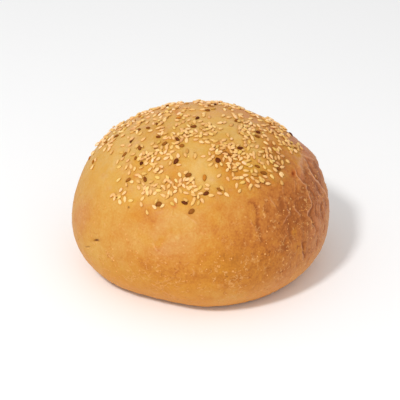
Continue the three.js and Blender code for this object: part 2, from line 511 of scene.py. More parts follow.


# Marks too fine for the corners of the mesh: pixel, half width and half height in pixels, how arched,
# how strong, colour. The slit on the left and its lip, a nick beside it, and a pit on the right shoulder.
# The dark cores of the slit, the nick and the pit are partly painted shade in their recesses, and the pale marks
# below the slit and the nick are painted highlights on their lips. The thin upright mark below a dark seed is partly
# painted shadow.
FINE_MARKS = [
    (96.3, 239.6, 4.0, 1.7, 0.0, 0.55, (160, 98, 0)), (96.0, 241.6, 1.9, 0.6, 0.0, 0.50, (232, 172, 92)),
    (96.4, 239.5, 2.0, 0.72, 0.45, 1.40, (106, 50, 0)), (87.2, 246.3, 2.4, 0.75, -0.30, 0.75, (140, 84, 8)),
    (87.4, 247.6, 0.9, 0.6, 0.0, 0.70, (240, 184, 108)), (292.7, 173.2, 2.1, 3.0, 0.0, 0.45, (178, 84, 18)),
    (292.6, 173.0, 1.3, 1.8, 0.2, 1.05, (138, 60, 0)), (291.2, 176.3, 1.6, 0.8, 0.0, 0.5, (150, 74, 8)),
    (295.8, 177.0, 1.8, 0.9, 0.0, 0.5, (152, 76, 14)), (128.2, 206.8, 1.0, 1.1, 0.0, 0.90, (120, 70, 16)),
    (194.0, 152.0, 1.4, 0.7, -0.4, 0.55, (146, 92, 26)), (182.4, 153.6, 0.8, 3.6, 0.0, 0.45, (170, 118, 40)),
    (174.2, 166.6, 0.9, 1.5, 0.0, 0.45, (170, 108, 36)),
]


def ways_about(x, y):
    """A place on the crust, two vectors that measure pixels rightwards and upwards from it, and one in mm off it."""
    middle = on_tree(crust_tree, x, y)
    across = (on_tree(crust_tree, x + 2, y) - on_tree(crust_tree, x - 2, y)) / 4
    upwards = (on_tree(crust_tree, x, y - 1.5) - on_tree(crust_tree, x, y + 1.5)) / 3
    off = np.cross(across, upwards)
    return middle, np.vstack([np.linalg.pinv(np.stack([across, upwards], 1)), off / np.linalg.norm(off)])


def crust_material():
    material, tree, shader, where = start_material("crust")
    upright = node(tree, "ShaderNodeVectorMath", {0: where, 1: (1.0, 1.0, 0.4)}, operation="MULTIPLY").outputs[0]

    def times(a, b):
        return math_node(tree, "MULTIPLY", a, b)

    def plus(a, b, clamp=False):
        return math_node(tree, "ADD", a, b, clamp)

    def above(value, start, steep):
        """0 up to start, then rising to 1."""
        return math_node(tree, "MULTIPLY", math_node(tree, "SUBTRACT", value, start), steep, True)

    def hump(value, middle, width):
        """1 at middle, falling smoothly on both sides."""
        off = times(math_node(tree, "SUBTRACT", value, middle), 1 / width)
        return math_node(tree, "EXPONENT", times(times(off, off), -1.0))

    def fine_mark(x, y, half_width, half_height, arched, ragged_by):
        """1 at a pixel on the crust, falling smoothly on an oval about it, with a ragged edge."""
        middle, ways = ways_about(x, y)
        off = node(tree, "ShaderNodeVectorMath", {0: where, 1: tuple(middle * 0.001)}, operation="SUBTRACT").outputs[0]
        part = []
        for way, size in zip(ways, (half_width, half_height, 12.0)):
            along = node(tree, "ShaderNodeVectorMath", {0: off, 1: tuple(way * 1000 / size)}, operation="DOT_PRODUCT")
            part.append(along.outputs["Value"])
        part[1] = plus(part[1], times(noise_at(tree, where, 900, 2, 0.5, 15.0), ragged_by))
        part[1] = plus(part[1], times(times(part[0], part[0]), arched))
        far = plus(times(part[0], part[0]), plus(times(part[1], part[1]), times(part[2], part[2])))
        return math_node(tree, "EXPONENT", times(far, -1.0))

    # mottling: patches, ragged patches, blotches, upright streaks and grain
    patches = noise_at(tree, where, 70, 3, 0.5, 1.0)
    ragged = math_node(tree, "MINIMUM", times(noise_at(tree, where, 130, 3, 0.55, 1.5), 5.0), 0.5)
    ragged = math_node(tree, "MAXIMUM", ragged, -0.5)
    thin = math_node(tree, "MINIMUM", times(noise_at(tree, where, 240, 3, 0.55, 1.7), 7.0), 0.5)
    thin = times(math_node(tree, "MAXIMUM", thin, -0.5), attribute(tree, "flecky"))
    blotches = noise_at(tree, where, 260, 4, 0.55, 2.0)
    streaks = times(noise_at(tree, upright, 420, 3, 0.55, 2.5), attribute(tree, "streaky"))
    grain = noise_at(tree, where, 1100, 2, 0.5, 3.0)
    baked = plus(attribute(tree, "browning"), times(patches, 0.09))
    baked = plus(baked, times(ragged, 0.08))
    baked = plus(baked, times(thin, 0.10))
    baked = plus(baked, times(blotches, 0.36))
    baked = plus(baked, times(streaks, 0.55))
    baked = plus(baked, times(grain, 0.50))

    # thin folds: their crests are pale and dry, partly a painted highlight on the lit side, and the side away from the
    # light is painted browner as painted shade
    wobble = times(noise_at(tree, where, 420, 2, 0.5, 4.5), 1.1)
    beside = plus(attribute(tree, "beside"), wobble)
    broken = above(noise_at(tree, where, 330, 2, 0.5, 5.5), -0.16, 5.0)
    crest = times(times(hump(beside, 0.16, 0.40), attribute(tree, "fold")), broken)
    painted_lee_shade = times(hump(beside, -0.85, 0.55), attribute(tree, "fold"))
    baked = plus(baked, times(painted_lee_shade, 0.22))

    # small flecks of lifted skin, dark specks, and a net of fine pale lines
    flecky = attribute(tree, "flecky")
    fleck = times(above(noise_at(tree, where, 580, 2, 0.5, 11.0), 0.118, 14.0), flecky)
    speck = times(above(noise_at(tree, where, 600, 2, 0.5, 12.0), 0.14, 12.0), flecky)
    web = noise_at(tree, where, 300, 2, 0.5, 13.0)
    web = math_node(tree, "SUBTRACT", 1.0, times(math_node(tree, "ABSOLUTE", web), 30.0), True)
    web = times(times(web, above(noise_at(tree, where, 140, 2, 0.5, 14.0), 0.02, 8.0)), flecky)
    baked = plus(baked, times(speck, 0.32))
    # painted shade: the crust about each seed is painted browner
    baked = plus(baked, times(attribute(tree, "painted_seed_shade"), 0.11), True)

    colour = ramp(tree, baked, [
        (0.0, linear(212, 169, 97)), (0.2, linear(206, 157, 79)), (0.4, linear(201, 143, 62)),
        (0.6, linear(196, 127, 45)), (0.8, linear(181, 107, 36)), (1.0, linear(152, 82, 24)),
    ])
    rosy = ramp(tree, baked, [
        (0.0, linear(208, 148, 126)), (0.4, linear(200, 136, 110)), (0.7, linear(186, 117, 88)), (1.0, linear(150, 84, 46)),
    ])
    # rosier and more golden places, and painted light on the heel and along the skyline
    cap = attribute(tree, "cap")
    hue = times(noise_at(tree, where, 150, 3, 0.5, 5.0), plus(times(cap, 0.66), 0.15))
    hue = plus(hue, times(times(noise_at(tree, where, 320, 2, 0.5, 5.8), cap), 1.0))
    hue = plus(hue, attribute(tree, "hue"))
    # olive patches on the cap, and olive painted shade about the seeds
    oily_and_seed_shade = above(noise_at(tree, where, 170, 3, 0.55, 6.5), -0.02, 6.0)
    oily_and_seed_shade = times(plus(times(oily_and_seed_shade, 0.28), times(attribute(tree, "painted_seed_shade"), 0.26)), cap)
    colour = mix_colour(tree, math_node(tree, "MAXIMUM", hue, 0.0), colour, rosy)
    colour = mix_colour(tree, math_node(tree, "MAXIMUM", times(hue, -1.0), 0.0), colour, linear(210, 148, 24))
    orange = times(times(above(noise_at(tree, where, 190, 2, 0.5, 6.9), 0.05, 6.0), cap), 0.15)
    colour = mix_colour(tree, oily_and_seed_shade, colour, linear(196, 153, 60))
    colour = mix_colour(tree, orange, colour, linear(214, 130, 60))
    # painted light: the heel and the skin along the skyline are painted brighter
    colour = mix_colour(tree, attribute(tree, "painted_heel_and_skyline_light"), colour, linear(226, 155, 72))
    colour = mix_colour(tree, attribute(tree, "scorched"), colour, linear(192, 92, 26))
    # pale dry skin on the fold crests, partly a painted highlight
    pale_skin_and_highlight = times(crest, attribute(tree, "pale_fold"))
    colour = mix_colour(tree, times(pale_skin_and_highlight, 0.9), colour, linear(236, 176, 136))
    colour = mix_colour(tree, times(fleck, 0.72), colour, linear(230, 168, 100))
    colour = mix_colour(tree, times(web, 0.65), colour, linear(228, 170, 102))
    split = None
    for x, y, half_width, half_height, arched, strength, tint in FINE_MARKS:
        mark = times(fine_mark(x, y, half_width, half_height, arched, 0.8), strength)
        colour = mix_colour(tree, mark, colour, linear(*tint))
        if strength > 1:
            split = mark if split is None else plus(split, mark)
    tree.links.new(colour, shader.inputs["Base Color"])
    tree.links.new(plus(times(blotches, 0.22), 0.54), shader.inputs["Roughness"])
    shader.inputs["Specular IOR Level"].default_value = 0.20
    relief = plus(times(noise_at(tree, upright, 520, 3, 0.55, 8.0), 1.5), times(noise_at(tree, where, 900, 3, 0.6, 7.0), 0.8))
    relief = plus(relief, times(crest, 1.3))
    relief = plus(relief, times(fleck, 0.9))
    relief = plus(relief, times(web, 0.5))
    relief = math_node(tree, "SUBTRACT", relief, plus(times(speck, 0.7), times(split, 1.5)))
    bump = node(tree, "ShaderNodeBump", {"Height": relief, "Strength": 0.8, "Distance": 0.00022})
    tree.links.new(bump.outputs["Normal"], shader.inputs["Normal"])
    return material


def seed_material(name, stops, rough, shine=0.2, blush=0.0):
    """Seeds: each has its own tone, darker at the tip, with faint mottling."""
    material, tree, shader, where = start_material(name)
    tone = attribute(tree, "tone")
    tip = attribute(tree, "tip")
    spots = noise_at(tree, where, 1400, 3, 0.6, 4.0)
    value = math_node(tree, "ADD", tone, math_node(tree, "MULTIPLY", spots, 0.25))
    value = math_node(tree, "SUBTRACT", value, math_node(tree, "MULTIPLY", tip, 0.22), clamp=True)
    pink = math_node(tree, "MULTIPLY", attribute(tree, "blush"), blush)
    colour = mix_colour(tree, pink, ramp(tree, value, stops), linear(238, 176, 140))
    sallow = math_node(tree, "MULTIPLY", math_node(tree, "SUBTRACT", 0.22, attribute(tree, "blush")), 2.6 * blush, True)
    colour = mix_colour(tree, sallow, colour, linear(222, 196, 96))
    tree.links.new(colour, shader.inputs["Base Color"])
    tree.links.new(
        math_node(tree, "ADD", math_node(tree, "MULTIPLY", spots, 0.2), rough), shader.inputs["Roughness"]
    )
    shader.inputs["Specular IOR Level"].default_value = shine
    bump = node(tree, "ShaderNodeBump", {
        "Height": noise_at(tree, where, 2600, 2, 0.5, 6.0), "Strength": 0.35, "Distance": 0.00005,
    })
    tree.links.new(bump.outputs["Normal"], shader.inputs["Normal"])
    return material


# ---------------------------------------------------------------- how brown the crust is, place by place
# Browner (+) and paler (-) places: turn and lift in degrees, spread in degrees, amount.
BAKED = [
    (-162, 63, 24, -0.69), (-40, 17, 17, 0.45), (-80, 4, 12, 0.37), (-89, 46, 6, -0.47),
    (-20, 69, 12, -0.28), (-106, -11, 8, 0.18), (-14, 23, 8, 0.35), (-64, 51, 6, 0.57),
    (-117, 23, 6, 0.40), (-57, -4, 8, 0.12), (-162, 63, 8, 0.53), (-81, -16, 6, -0.24),
    (-107, 44, 6, 0.37), (-120, 35, 6, -0.38), (-24, 44, 6, 0.39), (-45, 48, 6, -0.37),
    (-145, -2, 6, -0.20), (-128, 64, 6, 0.44), (-86, 11, 6, -0.15), (-11, 31, 6, -0.29),
    (-134, 42, 6, 0.28), (2, 23, 6, 0.28), (-128, -16, 6, 0.18), (-154, 5, 6, 0.15),
    (-112, 5, 6, 0.22), (-115, 14, 6, -0.23),
]
# Rosier (+) and more golden (-) places, in the same way.
HUES = [
    (-15, 7, 24, 0.20), (-103, 15, 8, 0.13), (-130, -16, 8, -0.47), (-100, -15, 8, -0.40),
    (-81, 3, 8, -0.32), (-176, 24, 12, -0.51), (-84, 64, 17, -0.19), (-52, -14, 8, 0.32),
    (-159, 9, 8, 0.28), (-147, -5, 8, -0.31), (-59, -2, 8, -0.21), (25, 45, 8, -0.86),
    (-115, -7, 8, -0.19), (-100, 41, 8, -0.23), (-143, 18, 8, -0.14), (12, 34, 8, 0.50),
]
# Stains: middle, half width and half height in pixels, how much browner and how much rosier. The browner one at (240,
# 186), beside the seeds at the cap's edge, is painted shade.
STAINS = [
    (158.5, 242, 6.5, 3.4, 0.09, -0.20, 42), (173, 230.5, 6.5, 2.6, 0.08, -0.06), (176.6, 237.2, 2.2, 2.0, -0.13, 0.0),
    (152.5, 224, 2.4, 10, 0.07, -0.06), (162, 251, 10, 5.5, -0.05, 0.10), (216, 233, 1.6, 12, 0.04, 0.0),
    (209.5, 234, 2.2, 12, -0.05, 0.0), (221.8, 236, 1.8, 12, 0.05, 0.0), (204.6, 230, 1.6, 8, 0.04, 0.0),
    (203, 255, 10, 4.5, 0.08, 0.0), (224, 256, 5, 5, 0.10, 0.0), (217, 206, 4.5, 4, 0.08, -0.10),
    (204, 218, 4, 5, 0.05, 0.0), (212, 221, 3, 5, 0.04, 0.0), (197, 268, 10, 7, -0.05, 0.0), (241, 264, 8, 6, -0.07, 0.0),
    (253, 217, 2.0, 9, -0.06, 0.0), (262.5, 208, 1.8, 9, -0.05, 0.0), (281, 206, 3.0, 12, 0.03, 0.04),
    (302, 204.5, 6, 5.5, -0.03, -0.06), (239, 214, 5.5, 8, -0.07, 0.0), (253.5, 234, 2.6, 6, -0.09, 0.0),
    (267, 235, 5, 3.5, -0.09, 0.04), (294.3, 230, 3.0, 7.0, -0.07, -0.30), (299, 246, 5, 7, -0.05, -0.12),
    (286, 228, 2.6, 9, 0.04, 0.14), (273.5, 203, 2.4, 6, -0.06, 0.0), (285, 201, 2.4, 4, -0.05, 0.08),
    (256, 254, 5, 3.5, 0.06, 0.0), (247, 249, 7, 4, -0.08, 0.0), (246, 262, 5, 4, -0.05, 0.0), (232, 235, 4, 8, -0.04, 0.0), (276, 248, 8, 4, 0.03, 0.10),
    (305, 171, 3.6, 6.4, 0.06, -0.20), (314.6, 164.4, 2.4, 3.2, 0.13, -0.25), (297.6, 155, 2.4, 2.2, 0.10, -0.25), (281, 174, 8, 5, -0.03, -0.1), (250, 194.5, 7, 2.6, -0.09, -0.1),
    (297, 152, 4.5, 4.5, 0.0, -0.4), (316, 222, 3.2, 10, 0.05, 0.10), (321, 209, 3.0, 9, 0.10, 0.0), (317, 177, 2.6, 8, 0.08, 0.0, 25), (326, 205, 3.0, 14, 0.06, 0.0),
    (312, 235, 3.0, 10, -0.05, 0.08), (301, 178, 3.0, 7, -0.06, 0.16, -20), (300.5, 166.5, 2.2, 8.5, -0.11, 0.20),
    (289, 137, 15, 5, 0.08, 0.30, -42), (272, 128, 9, 5, 0.08, 0.25, -35), (272, 152, 12, 7, 0.10, 0.0, -20),
    (165, 237, 7, 6, 0.08, -0.1), (200, 299, 18, 4, 0.18, 0.0), (235, 226, 5, 9, 0.07, 0.0), (317, 180, 3.4, 6, 0.10, -0.16, -25),
    (222, 113, 12, 5, 0.0, 0.22), (246, 112.5, 19, 5.5, 0.08, 0.45, -16), (259, 121, 16, 5, 0.05, 0.30, -30), (255, 150, 8, 6, -0.09, 0.0),
    (262, 275, 8, 3, 0.05, 0.0), (190, 281, 12, 5, 0.05, 0.0), (228, 285, 8, 4, 0.05, 0.0), (213, 297, 14, 2, 0.06, 0.0),
    (120, 262, 7, 5, 0.05, 0.0), (120, 238, 8, 6, 0.03, 0.0), (100, 205, 5, 8, 0.04, 0.0), (88, 226, 5, 7, -0.03, 0.0),
    (240, 186, 3.4, 1.8, 0.16, 0.0), (286, 164, 4, 5, -0.08, 0.0), (285, 208, 3.5, 9, 0.09, 0.0), (178, 228, 14, 9, 0.0, -0.12), (205, 150, 8, 8, -0.05, 0.0), (232, 135, 8, 8, -0.06, -0.05),
    (208, 260, 13, 5, -0.05, 0.0, 38), (134, 215, 10, 7, 0.0, -0.16), (145, 238, 12, 5, 0.0, -0.16, -40),
    (213, 216, 8, 9, -0.02, -0.18), (293, 209, 13, 3, -0.07, 0.0, 70), (146, 163, 11, 8, -0.03, -0.35),
    (272, 125, 10, 4, 0.06, 0.10, -30), (250, 147, 12, 6, -0.05, 0.0), (192, 196, 12, 8, -0.02, -0.14), (130, 200, 8, 7, -0.02, -0.14),
    (137, 215, 4, 8, 0.05, -0.05), (195, 247, 9, 3, 0.05, 0.0), (147, 226, 3.5, 8, 0.03, -0.05), (271, 220, 4, 7, 0.05, 0.0),
    (230, 158, 7, 5, -0.22, 0.0), (246, 125, 5, 4, -0.22, 0.0), (262, 135, 4, 4, -0.18, 0.05), (162, 136, 4, 4, -0.24, 0.0),
    (187, 134, 5, 4, -0.14, 0.0), (156, 168, 4, 4, -0.12, 0.0), (188, 153, 5, 4, -0.30, 0.0), (242, 162, 4, 4, -0.12, 0.0),
    (238, 139, 5, 5, -0.22, 0.0), (212, 146, 4, 4, -0.10, 0.0), (221, 128, 5, 4, -0.30, 0.0), (184, 164, 5, 3, -0.10, 0.0),
    (265, 182, 5, 4, 0.20, 0.0), (281, 161, 5, 4, 0.18, 0.0), (259, 173, 4, 4, 0.14, 0.0), (174, 141, 4, 3, 0.12, 0.0),
    (271, 144, 5, 4, 0.14, 0.0), (270, 128, 5, 4, 0.14, 0.0), (213, 161, 4, 3, 0.10, 0.0), (173, 163, 4, 3, 0.10, 0.0),
    (221, 207, 5, 4, 0.12, 0.0), (313, 183, 3, 5, -0.10, 0.0), (298, 147, 4, 3, 0.10, 0.0), (156, 191, 4, 3, 0.08, 0.0),
    (223, 142, 4, 3, 0.10, 0.0), (247, 134, 4, 3, -0.10, 0.0), (162, 268, 6, 5, -0.10, 0.0), (309, 224, 3, 5, 0.12, 0.0),
    (170, 159, 4, 3, 0.10, 0.0), (294, 150, 4, 3, 0.08, 0.0), (280, 156, 4, 3, -0.26, 0.0), (299, 235, 3, 5, 0.10, 0.0),
    (202, 127, 4, 3, -0.24, 0.0), (190, 173, 4, 4, -0.22, 0.0), (264, 238, 3, 4, -0.10, 0.0), (252, 145, 4, 3, -0.14, 0.0),
    (135, 159, 4, 3, 0.18, -0.05), (141, 122, 5, 4, -0.20, 0.0), (177, 108, 5, 3, -0.24, 0.0), (181, 136, 4, 3, -0.14, 0.10),
    (236, 171, 4, 3, -0.14, 0.0), (219, 187, 4, 3, -0.12, 0.12), (258, 156, 4, 3, -0.12, 0.0), (255, 131.5, 4, 3, 0.16, 0.05),
    (269, 203, 3, 4, 0.10, 0.0), (143, 159, 4, 3, -0.14, 0.0), (260, 171, 4, 3, 0.12, 0.10), (184, 164, 4, 3, -0.08, 0.0),
]
# Patches of paler, thinner skin, by their corners in the frame: browner, rosier, how soft the edge is in pixels.
PATCHES = [
    ([(156, 243), (176, 243), (196.5, 242.5), (195.5, 222), (184.5, 214), (170, 206), (156, 212)], -0.085, 0.0, 1.2),
    ([(177, 256), (196, 251), (200, 243.5), (186, 243), (176, 244.5)], -0.04, 0.0, 1.4),
]
# Right of this line, from the cap's edge down the right flank, the skin is rosier, partly its own colour and partly a
# painted sheen.
FLANK_LINE = [(148, 299), (160, 300), (171, 295.5), (178, 300), (188, 306.5), (204, 311), (214, 307), (222, 309), (238, 306), (262, 302), (285, 294)]
stained, tinted = np.zeros(len(base)), np.zeros(len(base))
for x, y, half_width, half_height, browner, rosier, *lean in STAINS:
    mark = stain(x, y, half_width, half_height, *lean)
    stained += browner * mark
    tinted += rosier * mark
for corners, browner, rosier, soft in PATCHES:
    mark = patch(corners, soft)
    stained += browner * mark
    tinted += rosier * mark
flank_x = np.interp(base_y, [q[0] for q in FLANK_LINE], [q[1] for q in FLANK_LINE])
# rosier skin on the right flank, partly painted sheen
rosy_skin_and_sheen = 1 - shows * (1 - smoothstep(-1.5, 2.5, base_x - flank_x))
rosy_skin_and_sheen *= smoothstep(-50, -20, turn) * (1 - smoothstep(40, 80, turn)) * smoothstep(-30, -18, lift) * (1 - smoothstep(34, 46, lift))
tinted += 0.24 * rosy_skin_and_sheen
browning = np.full(len(base), 0.456)
for turn_to, lift_to, spread, amount in BAKED:
    browning += amount * lobe(directions, turn_to, lift_to, spread)
hue = np.full(len(base), 0.062)
for turn_to, lift_to, spread, amount in HUES:
    hue += amount * lobe(directions, turn_to, lift_to, spread)
warm = np.zeros(len(base))
for pixel, width, amount in [
    ((168, 203), 8, 0.20), ((185, 202), 9, 0.28), ((196, 204), 6, 0.25), ((150, 200), 8, 0.20), ((247, 163), 13, 0.35),
    ((118, 185), 14, 0.14), ((137, 198), 9, 0.14), ((237, 176), 12, 0.25),
]:
    warm += amount * oval(*pixel, width, width)
scorched = np.zeros(len(base))
for pixel, width, amount in [
    ((173.6, 205), 2.6, 0.7), ((292, 173.5), 3.0, 0.5), ((180, 180), 2.4, 0.5), ((141, 168), 2.4, 0.4),
    ((248, 182.5), 2.4, 0.5), ((176, 111.5), 2.6, 0.5), ((134.5, 176), 3, 0.35), ((218, 143), 3, 0.4),
]:
    scorched += amount * oval(*pixel, width, width)
streaky = np.clip(0.10 + 0.8 * puckered * (0.4 + 0.6 * flank_side), 0, 1)
# Along the skyline at the back left, where the crust turns away from the camera, it is painted paler and rosier: a
# painted rim sheen.
rim_x = np.interp(base_x, [90, 110, 135, 170, 215, 240], [1, 1, 1, 0.8, 0.6, 0.2])
painted_rim_sheen = (1 - smoothstep(0.05, 0.42, np.abs((base_normals * sight).sum(1)))) * rim_x * smoothstep(12, 24, lift)
browning -= 0.24 * painted_rim_sheen
tinted += 0.30 * painted_rim_sheen
# stains, and painted shade: the crust is darker in creases and hollows and where the relief is low, paler where it is
# high
browning += stained + painted_crease_shade - 0.30 * np.clip(wrinkle, -0.4, 0.4)
# Painted light: the heel is painted brighter, standing in for light bounced up off the floor, and so is the skin along
# the skyline at the top.
painted_heel_and_skyline_light = 0.52 * (1 - smoothstep(2, 22, base[:, 2])) + 0.30 * shows * (1 - smoothstep(110, 124, base_y))
flecky = np.clip(0.42 + 0.58 * low_skin + 0.6 * puckered, 0, 1) * (1 - 0.6 * smoothstep(22, 34, lift))
crust = make_mesh(
    "crust", crust_points, tris, crust_material(),
    {
        "browning": browning, "hue": np.clip(hue + tinted - warm, -1, 1), "scorched": np.clip(scorched, 0, 1),
        "streaky": streaky, "flecky": flecky, "painted_heel_and_skyline_light": painted_heel_and_skyline_light, "beside": np.clip(beside, -4, 4),
        "fold": np.clip(fold, 0, 1), "pale_fold": np.clip(pale_fold, 0, 1),
    },
)
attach(crust, "root")
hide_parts("roll")

# ---------------------------------------------------------------- seeds
def seed_form(stations, around, point, blunt):
    """A flat drop, from -0.5 to 0.5 long, half its width and thickness at its fullest, closed."""
    along = (1 - np.cos(np.linspace(0, math.pi, stations + 2)[1:-1])) / 2
    full = along**point * (1 - along) ** blunt
    full /= full.max()
    rings, tips = [], []
    for t, f in zip(along, full):
        for k in range(around):
            a = 2 * math.pi * k / around
            c, s = math.cos(a), math.sin(a)
            rings.append((t - 0.5, 0.5 * f * math.copysign(abs(c) ** 0.9, c), 0.5 * f**0.75 * s))
            tips.append(max(0.0, 1 - t / 0.35))
    points = np.array([(-0.5, 0, 0), *rings, (0.5, 0, 0)])
    tips = np.array([1.0, *tips, 0.0])
    faces = []
    last = len(points) - 1
    for k in range(around):
        n = (k + 1) % around
        faces.append((0, 1 + n, 1 + k))
        for s in range(stations - 1):
            a, b = 1 + s * around, 1 + (s + 1) * around
            faces += [(a + k, a + n, b + n), (a + k, b + n, b + k)]
        e = 1 + (stations - 1) * around
        faces.append((e + k, e + n, last))
    return points, np.array(faces), tips


def seeds_mesh(name, form, placed, material):
    """Every placed seed as one mesh. placed: centre, along, across, out, sizes, bend, tone."""
    points, faces, tips = form
    all_points, all_faces, tones, tip, blush = [], [], [], [], []
    for i, s in enumerate(placed):
        q = points * s["sizes"]
        q[:, 1] += s["bend"] * (points[:, 0] ** 2 - 0.08) * s["sizes"][0]
        world = s["centre"] + q[:, :1] * s["along"] + q[:, 1:2] * s["across"] + q[:, 2:] * s["out"]
        world[:, 2] = np.maximum(world[:, 2], 0)
        all_points.append(world)
        all_faces.append(faces + i * len(points))
        tones.append(np.full(len(points), s["tone"]))
        tip.append(tips)
        blush.append(np.full(len(points), (len(blush) * 0.618034) % 1.0))
    made = make_mesh(
        name, np.vstack(all_points), np.vstack(all_faces), material,
        {"tone": np.concatenate(tones), "tip": np.concatenate(tip), "blush": np.concatenate(blush)},
    )
    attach(made, "root")
    return made


random = np.random.default_rng(20)


def lay_seed(centre, normal, along, sizes, sunk, tilt, tone, bend=0.0, lifted=0.0):
    """A seed lying on the crust at a point, with part of its thickness in the crust."""
    normal = normal / np.linalg.norm(normal)
    along = along - normal * (along @ normal)
    along /= np.linalg.norm(along)
    across = np.cross(normal, along)
    roll_by, pitch_by = tilt
    out = normal + roll_by * across + pitch_by * along
    out /= np.linalg.norm(out)
    along = along - out * (along @ out)
    along /= np.linalg.norm(along)
    across = np.cross(out, along)
    return {
        "centre": centre + normal * (sizes[2] * (0.5 - sunk) + lifted), "along": along,
        "across": across, "out": out, "sizes": np.array(sizes), "bend": bend, "tone": tone,
    }


def surface_at(x, y):
    hit = crust_tree.ray_cast(Vector(eye), Vector(pixel_ray(x, y)))
    return (None, None) if hit[0] is None else (np.array(hit[0]), np.array(hit[1]))


def direction_at(x, y, lean, here):
    """The way along the crust that looks lean degrees up from rightwards in the frame."""
    a = math.radians(lean)
    there, _ = surface_at(x + 0.7 * math.cos(a), y - 0.7 * math.sin(a))
    back_there, _ = surface_at(x - 0.7 * math.cos(a), y + 0.7 * math.sin(a))
    if there is not None and back_there is not None:
        return there - back_there
    return right * math.cos(a) + up * math.sin(a)


